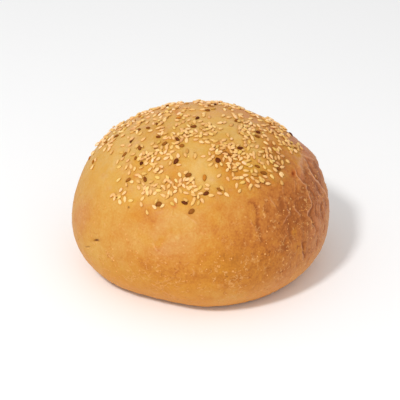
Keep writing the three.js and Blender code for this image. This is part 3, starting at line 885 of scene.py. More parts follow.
# ---------------------------------------------------------------- where the seeds lie
# Pale seeds: pixel x, pixel y, degrees that the seed leans up from rightwards, and for a few how much paler.
SEEDS_SEEN = [
    (167.4, 107.9, 103), (177.9, 107.1, 153), (200.6, 104.9, 172), (205.8, 104.9, 13),
    (211.6, 105.9, 19), (219.0, 104.4, 11), (226.0, 106.2, 144), (147.4, 113.9, 32),
    (147.7, 117.4, 15), (151.9, 112.6, 175), (154.2, 115.9, 35), (155.2, 119.4, 12),
    (159.4, 114.9, 47), (165.4, 112.4, 37), (170.6, 111.9, 51), (173.4, 109.6, 173),
    (178.4, 114.1, 33), (182.6, 111.6, 26), (183.4, 118.1, 86), (185.4, 115.9, 166),
    (191.6, 109.9, 6), (193.8, 115.9, 30), (201.8, 109.6, 178), (203.6, 113.4, 22),
    (208.8, 116.9, 89), (222.5, 115.9, 37), (224.0, 109.4, 132), (228.5, 117.4, 3),
    (232.0, 110.1, 42), (234.0, 115.9, 146), (240.5, 114.6, 178), (250.0, 118.6, 175),
    (116.0, 128.4, 50), (119.0, 131.9, 65), (121.7, 126.1, 32), (128.5, 125.4, 50),
    (132.5, 121.6, 22), (134.7, 127.1, 15), (136.9, 121.6, 123), (142.2, 120.4, 57),
    (147.2, 122.4, 40), (149.9, 130.9, 14), (153.2, 123.4, 86), (157.9, 128.4, 28),
    (159.2, 124.6, 23), (161.1, 130.1, 27), (164.6, 120.1, 53), (173.6, 127.6, 127),
    (176.9, 120.4, 172), (178.9, 123.9, 23), (181.6, 131.6, 120), (187.8, 128.9, 20),
    (187.8, 125.9, 146), (188.3, 120.4, 34), (194.1, 122.1, 100), (195.8, 131.1, 141),
    (200.1, 121.4, 13), (200.3, 128.1, 131), (206.1, 124.9, 97), (208.1, 128.9, 8),
    (213.3, 126.4, 140), (219.0, 123.1, 3), (220.3, 128.9, 15), (224.0, 122.6, 49),
    (231.0, 124.6, 29), (238.5, 121.4, 20), (239.0, 126.4, 40), (243.7, 128.4, 80),
    (247.7, 126.6, 42), (248.5, 121.6, 1), (251.7, 130.1, 169), (253.2, 125.6, 126),
    (258.0, 126.1, 135), (259.5, 120.4, 159), (262.5, 125.4, 163), (264.5, 130.4, 166),
    (272.2, 127.1, 151), (273.4, 131.9, 164), (279.9, 127.9, 153), (108.2, 143.8, 52),
    (112.2, 136.8, 128), (114.5, 132.4, 154), (128.0, 137.1, 108), (131.7, 132.1, 28),
    (132.0, 139.3, 54), (136.7, 132.1, 62), (140.4, 133.3, 45), (143.2, 139.1, 37),
    (152.4, 143.6, 38), (158.2, 142.3, 55), (158.9, 133.8, 170), (164.9, 133.6, 10),
    (165.4, 138.3, 25), (172.6, 133.3, 158), (172.9, 143.3, 158), (173.1, 138.1, 120),
    (177.9, 134.6, 85), (181.1, 140.1, 56), (186.1, 140.1, 84), (187.3, 133.1, 116),
    (195.6, 139.6, 12), (196.1, 136.3, 12), (200.3, 135.8, 63), (201.1, 142.3, 155),
    (205.1, 139.1, 174), (206.3, 133.3, 12), (213.8, 132.4, 176), (215.3, 141.1, 15),
    (223.5, 140.1, 23), (227.5, 135.1, 119), (231.0, 138.8, 65), (232.8, 143.8, 155),
    (242.0, 132.4, 130), (249.2, 134.8, 130), (252.7, 141.6, 180), (252.7, 134.1, 31),
    (261.0, 136.6, 121), (265.0, 143.3, 137), (267.2, 139.1, 97), (272.7, 143.1, 111),
    (276.4, 137.6, 149), (280.7, 133.8, 148), (285.7, 139.8, 147), (290.2, 142.3, 160),
    (103.0, 144.1, 136), (105.0, 149.3, 57), (109.0, 149.1, 60), (111.7, 151.8, 70),
    (121.0, 152.3, 9), (122.5, 145.6, 13), (128.5, 150.8, 58), (129.2, 145.3, 25),
    (132.7, 154.3, 25), (136.7, 146.1, 67), (141.2, 154.3, 35), (142.2, 146.6, 131),
    (146.4, 152.3, 98), (155.7, 146.6, 7), (157.2, 150.8, 176), (165.1, 151.8, 48),
    (166.9, 145.1, 47), (171.6, 146.8, 62), (171.9, 151.6, 10), (177.4, 147.1, 140),
    (177.6, 155.3, 101), (184.9, 155.1, 117), (186.8, 151.1, 92), (208.8, 153.3, 105),
    (212.3, 145.6, 130), (216.8, 146.1, 57), (219.3, 151.6, 0), (223.8, 147.3, 113),
    (224.5, 154.3, 164), (228.8, 147.8, 119), (234.5, 149.8, 134), (234.8, 155.1, 5),
    (237.5, 145.1, 30), (238.8, 152.6, 44), (242.2, 150.1, 24), (242.5, 153.8, 17),
    (245.0, 145.1, 43), (246.7, 154.3, 109), (247.7, 148.3, 80), (251.0, 154.8, 159),
    (251.7, 146.1, 5), (256.5, 146.3, 48), (258.5, 154.1, 78), (263.0, 148.1, 175),
    (266.0, 155.3, 95), (269.2, 149.3, 124), (273.7, 149.1, 141), (279.2, 148.3, 146),
    (279.9, 144.6, 155), (281.4, 155.8, 177), (284.9, 144.8, 146), (288.4, 148.8, 118),
    (293.9, 150.6, 142), (297.1, 148.8, 123), (297.9, 144.3, 144), (300.4, 148.1, 135),
    (92.5, 167.0, 56), (95.3, 159.8, 83), (117.2, 161.8, 64),
    (119.2, 166.5, 25), (122.5, 158.3, 54), (126.2, 167.5, 66), (127.5, 160.8, 34),
    (130.7, 166.0, 99), (140.9, 167.3, 14), (142.2, 158.8, 25), (145.9, 161.5, 50),
    (152.4, 156.3, 89), (155.2, 163.8, 14), (158.2, 158.6, 25), (166.1, 158.1, 25),
    (169.9, 163.0, 62), (170.9, 157.1, 118), (178.4, 164.5, 2), (194.8, 156.1, 85),
    (202.6, 156.1, 3), (208.8, 159.6, 24), (210.3, 164.3, 30), (212.6, 156.3, 48),
    (216.0, 165.8, 100), (220.3, 163.8, 110), (223.0, 159.3, 86), (227.5, 163.3, 179),
    (228.8, 158.3, 118), (233.8, 167.3, 27), (235.0, 158.8, 175), (238.0, 163.5, 172),
    (240.2, 167.5, 41), (244.2, 161.5, 174), (245.0, 157.6, 164), (249.5, 166.0, 19),
    (258.2, 160.8, 89), (263.2, 156.1, 71), (263.5, 166.8, 117), (267.2, 163.0, 119),
    (270.7, 161.3, 134), (270.7, 156.6, 116), (274.7, 157.8, 96), (275.4, 165.8, 170),
    (277.9, 157.1, 111), (281.7, 162.5, 102), (118.7, 179.5, 40, 0.25), (129.2, 172.3, 71),
    (134.4, 169.0, 71), (136.9, 174.8, 1), (140.2, 176.8, 141), (144.2, 173.5, 5),
    (149.9, 169.0, 45), (156.4, 168.8, 13), (156.7, 177.0, 152), (160.4, 171.8, 37),
    (179.4, 174.8, 113), (183.9, 179.3, 53), (185.9, 172.0, 32), (191.1, 178.3, 13),
    (218.5, 175.3, 41), (227.0, 169.5, 56), (227.5, 178.8, 119), (232.3, 174.0, 99),
    (240.0, 177.5, 3), (245.0, 175.0, 179), (245.5, 170.5, 170), (251.0, 171.5, 98),
    (254.7, 170.5, 106), (262.0, 179.3, 146), (264.2, 176.3, 157), (269.2, 170.8, 146),
    (271.4, 176.5, 132), (273.9, 169.5, 142), (281.2, 173.8, 131), (120.7, 190.0, 53, 0.25),
    (126.2, 184.3, 116), (131.2, 181.5, 176, 0.25), (138.4, 187.2, 126), (138.4, 181.5, 136),
    (146.9, 188.5, 54), (150.4, 192.0, 81), (150.9, 181.5, 21), (155.4, 184.8, 32),
    (162.6, 186.3, 157), (162.6, 182.3, 156), (170.6, 182.3, 148), (174.4, 191.5, 33),
    (175.9, 180.8, 125), (179.1, 184.8, 36), (180.1, 190.2, 112), (183.6, 186.0, 124),
    (187.3, 183.0, 41), (190.3, 187.0, 36), (192.8, 182.5, 109), (195.8, 189.7, 25),
    (206.1, 188.7, 176), (206.6, 184.8, 156), (221.3, 188.2, 125), (236.0, 185.5, 89),
    (238.8, 190.5, 54), (241.2, 182.5, 14), (247.2, 180.3, 130), (249.0, 188.0, 104),
    (256.0, 185.8, 164), (256.2, 181.0, 136), (260.2, 181.0, 150), (267.2, 183.5, 0),
    (280.9, 182.3, 107), (111.7, 195.2, 48, 0.25), (114.7, 198.0, 52, 0.25), (119.5, 201.2, 111, 0.25),
    (124.0, 193.0, 43, 0.25), (124.7, 199.2, 81, 0.25), (130.7, 200.2, 4), (140.9, 203.7, 108),
    (142.4, 198.0, 50), (143.4, 192.2, 51), (154.9, 192.5, 50), (155.7, 201.2, 63),
    (162.6, 195.0, 157), (168.6, 192.2, 81), (172.1, 203.5, 140), (175.4, 200.2, 114),
    (184.9, 199.5, 150), (185.9, 192.7, 170), (193.6, 199.7, 77), (198.1, 202.2, 69),
    (199.8, 193.2, 19), (210.8, 195.0, 179), (219.0, 193.0, 154), (226.3, 194.5, 144),
    (146.7, 211.7, 107), (153.9, 206.5, 137), (161.9, 205.5, 43), (93.5, 152.8, 60),
    (113.2, 137.2, 70), (109.7, 138.8, 40), (111.8, 141.6, 60), (108.6, 144.4, 120), (103.6, 139.4, 50), (100.5, 147.0, 40),
    (230.4, 151.0, 115), (247.6, 112.2, 160), (252.2, 115.4, 155), (256.2, 116.6, 150), (235.2, 117.8, 140), (232.6, 114.2, 150), (266.5, 121.2, 150),
]
# Dark seeds: pixel x, pixel y, lean, length in mm, width in mm, tone from 0, black, to 1, amber.
DARK_SEEN = [
    (196.7, 118.0, 40, 2.7, 1.7, 0.05), (193.0, 126.5, 5, 2.9, 1.7, 0.32), (156.4, 123.8, -60, 1.9, 1.3, 0.35),
    (147.6, 127.9, 0, 2.5, 1.2, 0.38), (138.4, 129.7, 20, 2.2, 1.2, 0.42), (116.4, 135.7, 15, 2.5, 1.6, 0.45),
    (157.8, 136.7, -5, 2.6, 1.4, 0.30), (176.9, 139.2, -40, 2.4, 1.5, 0.18), (130.7, 141.0, 70, 2.6, 1.4, 0.15),
    (139.5, 148.0, 90, 2.8, 1.9, 0.42), (164.0, 143.6, 25, 3.0, 1.8, 0.55), (181.3, 145.5, 10, 2.4, 1.9, 0.60),
    (156.0, 149.1, -10, 2.5, 0.9, 0.45), (124.1, 154.3, 45, 3.0, 1.4, 0.60), (135.1, 157.9, 70, 2.2, 1.2, 0.55),
    (141.0, 163.1, 60, 2.0, 1.8, 0.0), (175.4, 161.2, 50, 3.2, 2.1, 0.12), (92.9, 161.6, 75, 2.4, 1.4, 0.80),
    (106.1, 142.5, 30, 1.4, 0.9, 0.70), (144.6, 178.8, -75, 3.0, 1.7, 0.35),
    (127.8, 179.6, 35, 3.0, 1.5, 0.60), (187.9, 174.8, 20, 3.1, 1.9, 0.50), (158.2, 203.8, 30, 3.0, 2.1, 0.45),
    (183.9, 202.3, -15, 3.1, 1.6, 0.08), (190.8, 211.1, 35, 3.3, 2.0, 0.52), (178.0, 118.0, 10, 2.6, 1.4, 1.00),
    (149.8, 110.2, 15, 2.8, 1.0, 0.40), (166.0, 104.0, 40, 2.8, 1.0, 0.40), (139.9, 116.5, 15, 2.6, 0.8, 0.90),
    (207.0, 110.3, 0, 2.3, 1.8, 0.40), (214.3, 104.4, 20, 2.6, 1.6, 0.12), (209.5, 105.5, 0, 2.2, 1.4, 0.60),
    (235.6, 120.5, 20, 2.6, 1.5, 0.50), (257.2, 131.9, 0, 2.7, 2.1, 0.15), (256.5, 136.3, -20, 2.6, 1.6, 0.42),
    (289.8, 134.1, -45, 2.8, 1.6, 0.0), (239.6, 148.0, -5, 3.1, 1.6, 0.06), (224.0, 152.6, 20, 2.2, 1.3, 0.50),
    (228.8, 154.2, -35, 2.2, 0.9, 0.50), (217.2, 159.8, -60, 2.9, 2.4, 0.08), (256.5, 166.0, -20, 2.8, 1.4, 0.50),
    (262.7, 172.6, -12, 3.4, 1.6, 0.50), (277.7, 168.9, -10, 2.2, 1.3, 0.42), (204.0, 177.7, 85, 3.4, 1.8, 0.92),
    (89.4, 157.8, 65, 2.4, 1.1, 0.85),
    (205.5, 193.1, 30, 2.8, 1.8, 0.15), (218.7, 189.1, -20, 2.8, 1.5, 0.58), (257.2, 186.2, -10, 2.8, 1.4, 0.95),
]
# Where the pale seeds are paler (+) or browner (-): middle and reach in pixels, by how much.
SEED_TONES = [
    (232, 158, 7, 0.16), (246, 125, 6, 0.15), (262, 135, 5, 0.15), (163, 136, 6, 0.15), (187, 134, 7, 0.15),
    (156, 168, 6, 0.15), (242, 162, 5, 0.14), (228, 166, 5, 0.14), (212, 146, 6, 0.12), (192, 200, 6, 0.12),
    (188, 182, 6, 0.15), (139, 121, 5, 0.10), (144, 158, 5, 0.10), (219, 187, 5, 0.12), (265, 182, 6, -0.24),
    (281, 161, 6, -0.28), (259, 173, 5, -0.20), (174, 141, 5, -0.14), (271, 144, 6, -0.18), (270, 128, 7, -0.24),
    (298, 147, 6, -0.20), (289, 139, 6, -0.18), (213, 161, 6, -0.14), (156, 191, 5, -0.14), (255, 131, 5, -0.24),
    (183, 128, 6, -0.26), (247, 134, 5, 0.20), (223, 142, 5, -0.16), (135, 159, 5, -0.16), (140, 198, 6, -0.18),
    (294, 150, 5, -0.14), (173, 136, 5, -0.16), (157, 170, 5, 0.10), (162, 137, 5, 0.10), (235, 178, 6, -0.16),
    (236, 161, 5, 0.10), (120, 191, 6, 0.16), (170, 159, 5, -0.12), (246, 126, 6, 0.10), (189, 181, 5, 0.10),
]
# Where seeds that would only crowd the view are left out: middle and reach in pixels.
THINNED = [
    (265, 181, 4.5), (281, 161, 3.5), (290, 139.5, 2.2), (271, 127.6, 2.4), (271.2, 144.8, 1.5), (259.8, 175.6, 1.4), (183, 128, 2.0),
]
# The lower edge of the seeds, where it shows.
CAP_EDGE = [
    (95, 168), (103, 182), (112, 195), (135, 206), (158, 212), (180, 208), (200, 205), (220, 198),
    (240, 190), (262, 186), (283, 180), (292, 172), (301, 150),
]


def turn_lift(point):
    d = point - girth_centre
    d = d / np.linalg.norm(d)
    return math.degrees(math.atan2(d[1], d[0])), math.degrees(math.asin(d[2]))


edge = sorted(turn_lift(on_tree(coarse_tree, *xy)) for xy in CAP_EDGE)
edge += [(60, 40), (85, 36), (112, 41), (140, 37), (165, 36)]
edge = np.array(sorted(edge))


def cap_edge(turn_deg):
    """Lift of the lower edge of the seeds at a turn about the roll."""
    return np.interp(turn_deg, edge[:, 0], edge[:, 1], period=360)


def facing(point, normal):
    return float(normal @ (eye - point)) / np.linalg.norm(eye - point)


def seen(point, normal):
    """Whether the camera sees this place of the crust well."""
    way = point - eye
    hit = crust_tree.ray_cast(Vector(eye), Vector(way / np.linalg.norm(way)))
    return facing(point, normal) > 0.14 and np.linalg.norm(np.array(hit[0]) - point) < 6.0


pale_seeds, dark_seeds, taken = [], [], []


def crowd(point, reach):
    """How many seeds lie within reach of a place."""
    if not taken:
        return 0
    return int((((np.array(taken) - point) ** 2).sum(1) < reach**2).sum())


def pale_size():
    length = 2.8 * random.uniform(0.88, 1.10)
    return (length, length * random.uniform(0.49, 0.59), random.uniform(0.85, 1.1))


for x, y, lean, length, width, tone in DARK_SEEN:
    point, normal = surface_at(x, y)
    if point is None:
        point, normal = surface_at(x + (200 - x) * 0.02, y + 2.0)
    along = direction_at(x, y, lean, point)
    dark_seeds.append(lay_seed(
        point, normal, along, (length, width, random.uniform(0.85, 1.1)), random.uniform(0.12, 0.28),
        random.normal(0, 0.06, 2), tone,
    ))
    taken.append(point)

def rim_tone(x, y):
    """How much paler the seeds are towards the skyline, most of all on the left."""
    high = 1 - smoothstep(4.0, 16.0, y - np.interp(x, *zip(*SKYLINE_Y)))
    return float(high * (0.38 - 0.22 * smoothstep(190, 260, x)))


def place_tone(x, y):
    return sum(tone * math.exp(-((x - px) ** 2 + (y - py) ** 2) / reach**2) for px, py, reach, tone in SEED_TONES)


# Where the skyline runs: pixel x and pixel y.
SKYLINE_Y = [(90, 155), (100, 143), (110, 132), (120, 124), (135, 116), (150, 110), (170, 105), (190, 102), (215, 103), (235, 106), (255, 113.5), (275, 123), (290, 133.5), (305, 146)]
for x, y, lean, *paler in SEEDS_SEEN:
    point, normal = surface_at(x, y)
    if point is None:
        point, normal = surface_at(x + (200 - x) * 0.02, y + 1.5)
    if point is None:
        continue
    if random.random() < 0.5:
        lean += 180
    along = direction_at(x, y, lean, point)
    lifted = 0.35 * min(crowd(point, 1.5), 2)
    pale_seeds.append(lay_seed(
        point, normal, along, pale_size(), random.uniform(0.06, 0.28), random.normal(0, 0.14, 2),
        np.clip(random.normal(0.54 + rim_tone(x, y), 0.21) + sum(paler) + place_tone(x, y), 0, 0.78 + rim_tone(x, y)),
        random.normal(0, 0.02), lifted,
    ))
    taken.append(point)

# Seeds on the skyline: pixel x, and how far the seed stands out there, in pixels.
SKYLINE = [
    (92, 1.6), (98, 3.4), (101, 1.8), (106, 1.3), (109.5, 2.3), (113.5, 1.4), (117, 2.0), (121, 1.7), (132, 1.5),
    (142, 1.7), (145.5, 1.2), (150.5, 2.2), (160, 1.0), (164, 1.6), (168.5, 3.3), (172.5, 2.4), (178, 1.2),
    (197, 2.3), (202.5, 1.2), (209.5, 1.4), (213.5, 1.8), (216.5, 3.3), (220.5, 2.9), (225, 1.2), (230, 1.8),
    (233.5, 2.2), (238.5, 0.9), (270, 2.5), (273, 1.9), (281, 3.1), (283.5, 2.0),
]
PX_PER_MM = FOCAL_PX / FAR
for x, out_px in SKYLINE:
    y = 95.0
    while surface_at(x, y)[0] is None:
        y += 0.25
    point, normal = surface_at(x, y + 0.4)
    tall = out_px / PX_PER_MM
    layers = [0.0] if tall < 1.2 else [0.0, max(0.62, tall - 1.0)]
    for lifted in layers:
        length, width, thick = pale_size()
        thick = 1.05
        sunk = min(0.5, max(0.05, 1 - tall / thick)) if len(layers) == 1 else 0.08
        along = np.cross(normal, [0.5 * random.normal(), 1.0, 0.5 * random.normal()])
        pale_seeds.append(lay_seed(
            point + 0.25 * random.normal(size=3) * (lifted == 0), normal, along, (length, width, thick), sunk,
            (0.15 * random.normal(), 0.15 * random.normal()),
            np.clip(random.normal(0.86, 0.12), 0, 1), random.normal(0, 0.02), lifted,
        ))
    taken.append(point)

def clear_of_dark(point):
    """Whether a seed laid here leaves the dark seeds uncovered."""
    return min(np.linalg.norm(s["centre"] - point) for s in dark_seeds) > 2.0


# Thick places, where seeds lie against and on one another: pixel, reach in pixels, how many more.
THICK = [
    (247, 128, 9, 11), (284, 139, 8, 9), (292, 146, 7, 7), (272, 129, 8, 6), (272, 154, 9, 8),
    (281, 160, 7, 4), (225, 151, 8, 7), (240, 159, 9, 6), (258, 160, 9, 5), (264, 176, 8, 5),
    (235, 119, 7, 2), (205, 136, 9, 7), (186, 134, 9, 7), (163, 148, 9, 6), (160, 112, 10, 9),
    (137, 121, 10, 9), (182, 110, 10, 8), (206, 109, 9, 6), (121, 128, 8, 6), (108, 141, 6, 5),
    (172, 184, 10, 6), (150, 189, 9, 5), (192, 185, 8, 4), (198, 196, 8, 3), (222, 109, 8, 3),
    (143, 152, 10, 5), (120, 198, 9, 3), (232, 172, 9, 3), (252, 172, 8, 2), (156, 169, 7, 3), (279, 170, 6, 2), (104, 139, 5, 4),
    (111, 134, 5, 3), (118, 130, 4, 2), (132, 121, 5, 3), (271, 122, 6, 5), (278, 131, 7, 7), (287, 140, 6, 6),
    (294, 147, 5, 4), (265, 128, 5, 3), (246, 131, 8, 6), (250, 139, 7, 4), (206, 129, 8, 6), (184, 126, 8, 5),
    (160, 124, 8, 5), (176, 137, 9, 5), (150, 160, 8, 4), (218, 148, 7, 4), (232, 164, 8, 2), (165, 188, 9, 5),
]
for px, py, reach, more in THICK:
    for _ in range(more):
        for _ in range(12):
            a, r = random.uniform(0, 2 * math.pi), reach * math.sqrt(random.random())
            x, y = px + r * math.cos(a), py + r * math.sin(a)
            point, normal = surface_at(x, y)
            if point is not None and crowd(point, 1.15) == 0 and clear_of_dark(point):
                break
        else:
            continue
        way = direction_at(px, py, random.normal(143, 24), point)
        seed = lay_seed(
            point, normal, way if px > 262 else np.cross(normal, random.normal(size=3)), pale_size(), random.uniform(0.0, 0.25),
            random.normal(0, 0.2, 2), np.clip(random.normal(0.42, 0.2) + place_tone(x, y), 0, 1), random.normal(0, 0.02),
            0.3 * min(crowd(point, 1.7), 2) * random.random(),
        )
        taken.append(point)
        if not any(math.hypot(x - tx, y - ty) < tr for tx, ty, tr in THINNED):
            pale_seeds.append(seed)

# The rest of the cap, out of sight and along the skyline, is strewn the same way.
centres = crust_points[tris].mean(axis=1)
areas = np.linalg.norm(np.cross(
    crust_points[tris[:, 1]] - crust_points[tris[:, 0]], crust_points[tris[:, 2]] - crust_points[tris[:, 0]]
), axis=1) / 2
cap_turn = np.degrees(np.arctan2(centres[:, 1] - girth_centre[1], centres[:, 0] - girth_centre[0]))
cap_lift = np.degrees(np.arcsin((centres[:, 2] - girth_centre[2]) / np.linalg.norm(centres - girth_centre, axis=1)))
above_edge = cap_lift - cap_edge(cap_turn) + 5 * noise(centres / 9, 61)
clumps = noise(centres / 6.5, 67)
chance = areas * smoothstep(-2, 5, above_edge) * (0.45 + 1.0 * smoothstep(-0.5, 0.5, clumps))
picks = random.choice(len(centres), 12000, p=chance / chance.sum())
tri_normals = np.cross(
    crust_points[tris[:, 1]] - crust_points[tris[:, 0]], crust_points[tris[:, 2]] - crust_points[tris[:, 0]]
)
tri_normals /= np.linalg.norm(tri_normals, axis=1)[:, None]
STREWN = 235
BARE_SKYLINE = [(123, 137), (181, 194), (204, 207), (242, 266), (285, 312)]  # pixels x with no seeds on the skyline
strewn = 0
for pick in picks:
    if strewn >= STREWN:
        break
    point, normal = centres[pick], tri_normals[pick]
    if seen(point, base_normals[tris[pick, 0]]):
        continue
    x, y = frame_xy(point[None])
    faces_us = facing(point, base_normals[tris[pick, 0]])
    skyline = y[0] < 165 and abs(faces_us) < 0.13
    if skyline and any(a < x[0] < b for a, b in BARE_SKYLINE):
        continue
    near = crowd(point, 1.75)
    if skyline and random.random() < (0.80 if abs(faces_us) < 0.06 else 0.40):
        continue
    if near > 0 and random.random() > 0.06:
        continue
    along = np.cross(normal, random.normal(size=3))
    if random.random() < 0.085 and faces_us < -0.25:
        length = random.uniform(2.4, 3.2)
        dark_seeds.append(lay_seed(
            point, normal, along, (length, length * random.uniform(0.55, 0.68), random.uniform(0.85, 1.1)),
            random.uniform(0.12, 0.28), random.normal(0, 0.06, 2), random.uniform(0, 0.75),
        ))
    else:
        pale_seeds.append(lay_seed(
            point, normal, along, pale_size(), random.uniform(0.10, 0.32), random.normal(0, 0.14, 2),
            np.clip(random.normal(0.78 if faces_us > -0.25 else 0.60, 0.2), 0, 1), random.normal(0, 0.02), 0.4 * min(near, 2),
        ))
    taken.append(point)
    strewn += 1

# A few more that lie on their neighbours: pixel x, pixel y, lean.
for x, y, lean in [
    (229.5, 160.5, 100), (232.5, 156.5, 20), (225.5, 157.0, 150), (246.0, 127.0, 75), (249.5, 124.5, 60), (262.0, 133.0, 30),
    (264.0, 136.0, 150), (164.5, 138.0, 20), (162.0, 134.0, 60), (186.0, 133.5, 110), (190.0, 135.5, 20), (156.5, 170.5, 30),
    (153.5, 166.5, 80), (243.5, 163.5, 150), (212.5, 147.5, 45), (192.0, 203.0, 60), (187.0, 180.0, 20), (139.5, 123.5, 40),
    (244.0, 126.5, 100), (247.5, 122.5, 80), (190.5, 180.5, 30), (177.0, 107.8, 10), (228.5, 166.5, 120), (142.0, 121.5, 20),
    (158.0, 159.5, 30), (249.5, 186.0, 60), (270.0, 162.0, 110),
]:
    point, normal = surface_at(x, y)
    pale_seeds.append(lay_seed(
        point, normal, direction_at(x, y, lean, point), pale_size(), random.uniform(0.0, 0.2), random.normal(0, 0.2, 2),
        np.clip(random.normal(0.60, 0.12), 0, 1), random.normal(0, 0.02), 0.3 * min(crowd(point, 1.5), 2),
    ))
    taken.append(point)

seeds_mesh("pale_seeds", seed_form(9, 12, 0.80, 0.50), pale_seeds, seed_material("pale_seed", [
    (0.0, linear(192, 138, 54)), (0.3, linear(216, 167, 82)), (0.6, linear(233, 190, 112)),
    (0.85, linear(243, 207, 144)), (1.0, linear(252, 224, 178)),
], 0.48, 0.2, 0.40))
seeds_mesh("dark_seeds", seed_form(9, 12, 0.72, 0.50), dark_seeds, seed_material("dark_seed", [
    (0.0, linear(90, 36, 3)), (0.25, linear(116, 55, 8)), (0.6, linear(153, 92, 26)),
    (1.0, linear(196, 122, 36)),
], 0.50, 0.10))
print("seeds", len(pale_seeds), len(dark_seeds), "strewn", strewn)


# ---------------------------------------------------------------- painted shade: the crust about each seed is painted darker
painted_seed_shade = np.zeros(len(crust_points))
corner_tree = KDTree(len(crust_points))
for i, q in enumerate(crust_points):
    corner_tree.insert(q, i)
corner_tree.balance()
for s in pale_seeds + dark_seeds:
    found = np.array([i for _, i, _ in corner_tree.find_range(Vector(s["centre"]), 2.8)])
    if len(found) == 0:
        continue
    off = crust_points[found] - s["centre"]
    r = np.hypot(off @ s["along"] / (s["sizes"][0] / 2), off @ s["across"] / (s["sizes"][1] / 2))
    painted_seed_shade[found] = np.maximum(painted_seed_shade[found], np.exp(-((np.maximum(r - 1.0, 0) / 0.55) ** 2)))
cap = smoothstep(-5, 3, lift - cap_edge(turn))
for key, values in (("painted_seed_shade", painted_seed_shade), ("cap", cap)):
    layer = crust.data.attributes.new(key, "FLOAT", "POINT")
    layer.data.foreach_set("value", values.astype(np.float32))

# ---------------------------------------------------------------- blisters on the lower crust
BLISTERS_SEEN = [  # pixel x, pixel y, width in mm
    (252, 225, 0.8), (266.6, 231, 0.8), (264.6, 253.6, 0.9), (257, 256, 0.7), (231, 258, 0.8), (223, 260, 0.7),
    (217, 265.6, 0.8), (235, 272, 1.1), (287.6, 242, 0.8), (279.5, 244.5, 0.7), (241.7, 207, 0.8),
    (153.8, 246.5, 0.8), (156.5, 249, 0.6), (96.4, 242.6, 0.7),
]


def blister_form(rings, around):
    """A low closed dome, one across and one high, with a lens-shaped underside."""
    points, faces = [(0, 0, 1.0)], []
    for r in range(1, rings + 1):
        a = r / rings * math.pi / 2
        points += [
            (0.5 * math.sin(a) * math.cos(2 * math.pi * k / around), 0.5 * math.sin(a) * math.sin(2 * math.pi * k / around), math.cos(a))
            for k in range(around)
        ]
    points.append((0, 0, -0.8))
    last = len(points) - 1
    for k in range(around):
        n = (k + 1) % around
        faces.append((0, 1 + k, 1 + n))
        for r in range(rings - 1):
            a, b = 1 + r * around, 1 + (r + 1) * around
            faces += [(a + k, b + k, b + n), (a + k, b + n, a + n)]
        e = 1 + (rings - 1) * around
        faces.append((e + k, last, e + n))
    return np.array(points), np.array(faces)


blister_points, blister_faces = blister_form(3, 9)
placed_points, placed_faces, placed_tone = [], [], []


def add_blister(point, normal, width, rise):
    side = np.cross(normal, [0.31, 0.62, 0.72])
    side /= np.linalg.norm(side)
    other = np.cross(normal, side)
    stretch = random.uniform(0.8, 1.3)
    q = blister_points * [width * stretch, width / stretch, rise]
    placed_faces.append(blister_faces + sum(len(p) for p in placed_points))
    placed_points.append(point + q[:, :1] * side + q[:, 1:2] * other + q[:, 2:] * normal)
    placed_tone.append(np.full(len(q), random.uniform(0, 1)))


for x, y, width in BLISTERS_SEEN:
    point, normal = surface_at(x, y)
    add_blister(point, normal, width, 0.16 * width + 0.05)
low = areas * smoothstep(-38, -28, cap_lift) * (1 - smoothstep(12, 24, cap_lift))
low *= 0.25 + smoothstep(-75, -20, cap_turn) * (1 - smoothstep(120, 165, cap_turn))
low *= 0.3 + smoothstep(-0.4, 0.5, noise(centres / 12, 71))
low *= smoothstep(0.05, 0.45, noise(centres / 4.5, 73)) + 0.12
low *= centres[:, 2] > 1.2
for pick in random.choice(len(centres), 900, p=low / low.sum()):
    width = 0.28 + 0.5 * random.random() ** 2
    add_blister(centres[pick], tri_normals[pick], width, 0.22 * width + 0.03)


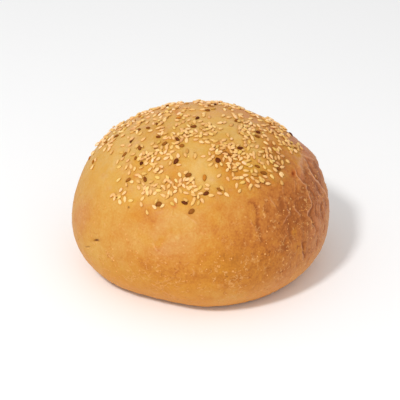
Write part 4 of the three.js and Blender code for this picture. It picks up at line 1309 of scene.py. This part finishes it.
def blister_material():
    material, tree, shader, where = start_material("blister")
    tone = attribute(tree, "tone")
    value = math_node(tree, "ADD", tone, noise_at(tree, where, 900, 2, 0.5, 9.0), clamp=True)
    tree.links.new(ramp(tree, value, [
        (0.0, linear(204, 132, 62)), (0.5, linear(226, 157, 84)), (1.0, linear(238, 180, 108)),
    ]), shader.inputs["Base Color"])
    shader.inputs["Roughness"].default_value = 0.6
    shader.inputs["Specular IOR Level"].default_value = 0.2
    return material


blisters = make_mesh(
    "blisters", np.vstack(placed_points), np.vstack(placed_faces), blister_material(),
    {"tone": np.concatenate(placed_tone)},
)
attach(blisters, "root")

# ---------------------------------------------------------------- floor and light
def floor_material():
    material, tree, shader, where = start_material("floor")
    cloudy = noise_at(tree, where, 3, 2, 0.5, 1.0)
    value = math_node(tree, "ADD", math_node(tree, "MULTIPLY", cloudy, 0.2), 0.5, clamp=True)
    tree.links.new(ramp(tree, value, [(0.0, (0.93, 0.93, 0.93, 1)), (1.0, (0.96, 0.96, 0.96, 1))]), shader.inputs["Base Color"])
    shader.inputs["Roughness"].default_value = 0.9
    shader.inputs["Specular IOR Level"].default_value = 0.1
    return material


floor = make_mesh(
    "floor", [(-4000, -4000, 0), (4000, -4000, 0), (4000, 4000, 0), (-4000, 4000, 0)],
    [(0, 1, 2), (0, 2, 3)], floor_material(),
)
floor.location.z = -0.0002


def soft_light(name, turn, lift, away, size, watts, colour=(1, 1, 1)):
    """A round soft light that faces the roll."""
    data = bpy.data.lights.new(name, "AREA")
    data.shape = "DISK"
    data.size = size
    data.energy = watts
    data.color = colour
    lamp = bpy.data.objects.new(name, data)
    target = Vector((0, 0, 0.035))
    lamp.location = target + Vector(towards(turn, lift)) * away
    lamp.rotation_mode = "QUATERNION"
    lamp.rotation_quaternion = (target - lamp.location).to_track_quat("-Z", "Y")
    bpy.context.scene.collection.objects.link(lamp)
    return lamp


soft_light("key", -124, 50, 1.1, 0.16, 6.4)
soft_light("fill", -60, 12, 1.4, 0.90, 1.8)
world = bpy.data.worlds.new("studio")
world.use_nodes = True
world.node_tree.nodes["Background"].inputs["Color"].default_value = (1, 1, 1, 1)
world.node_tree.nodes["Background"].inputs["Strength"].default_value = 0.69
bpy.context.scene.world = world
bpy.context.scene.view_settings.view_transform = "Standard"
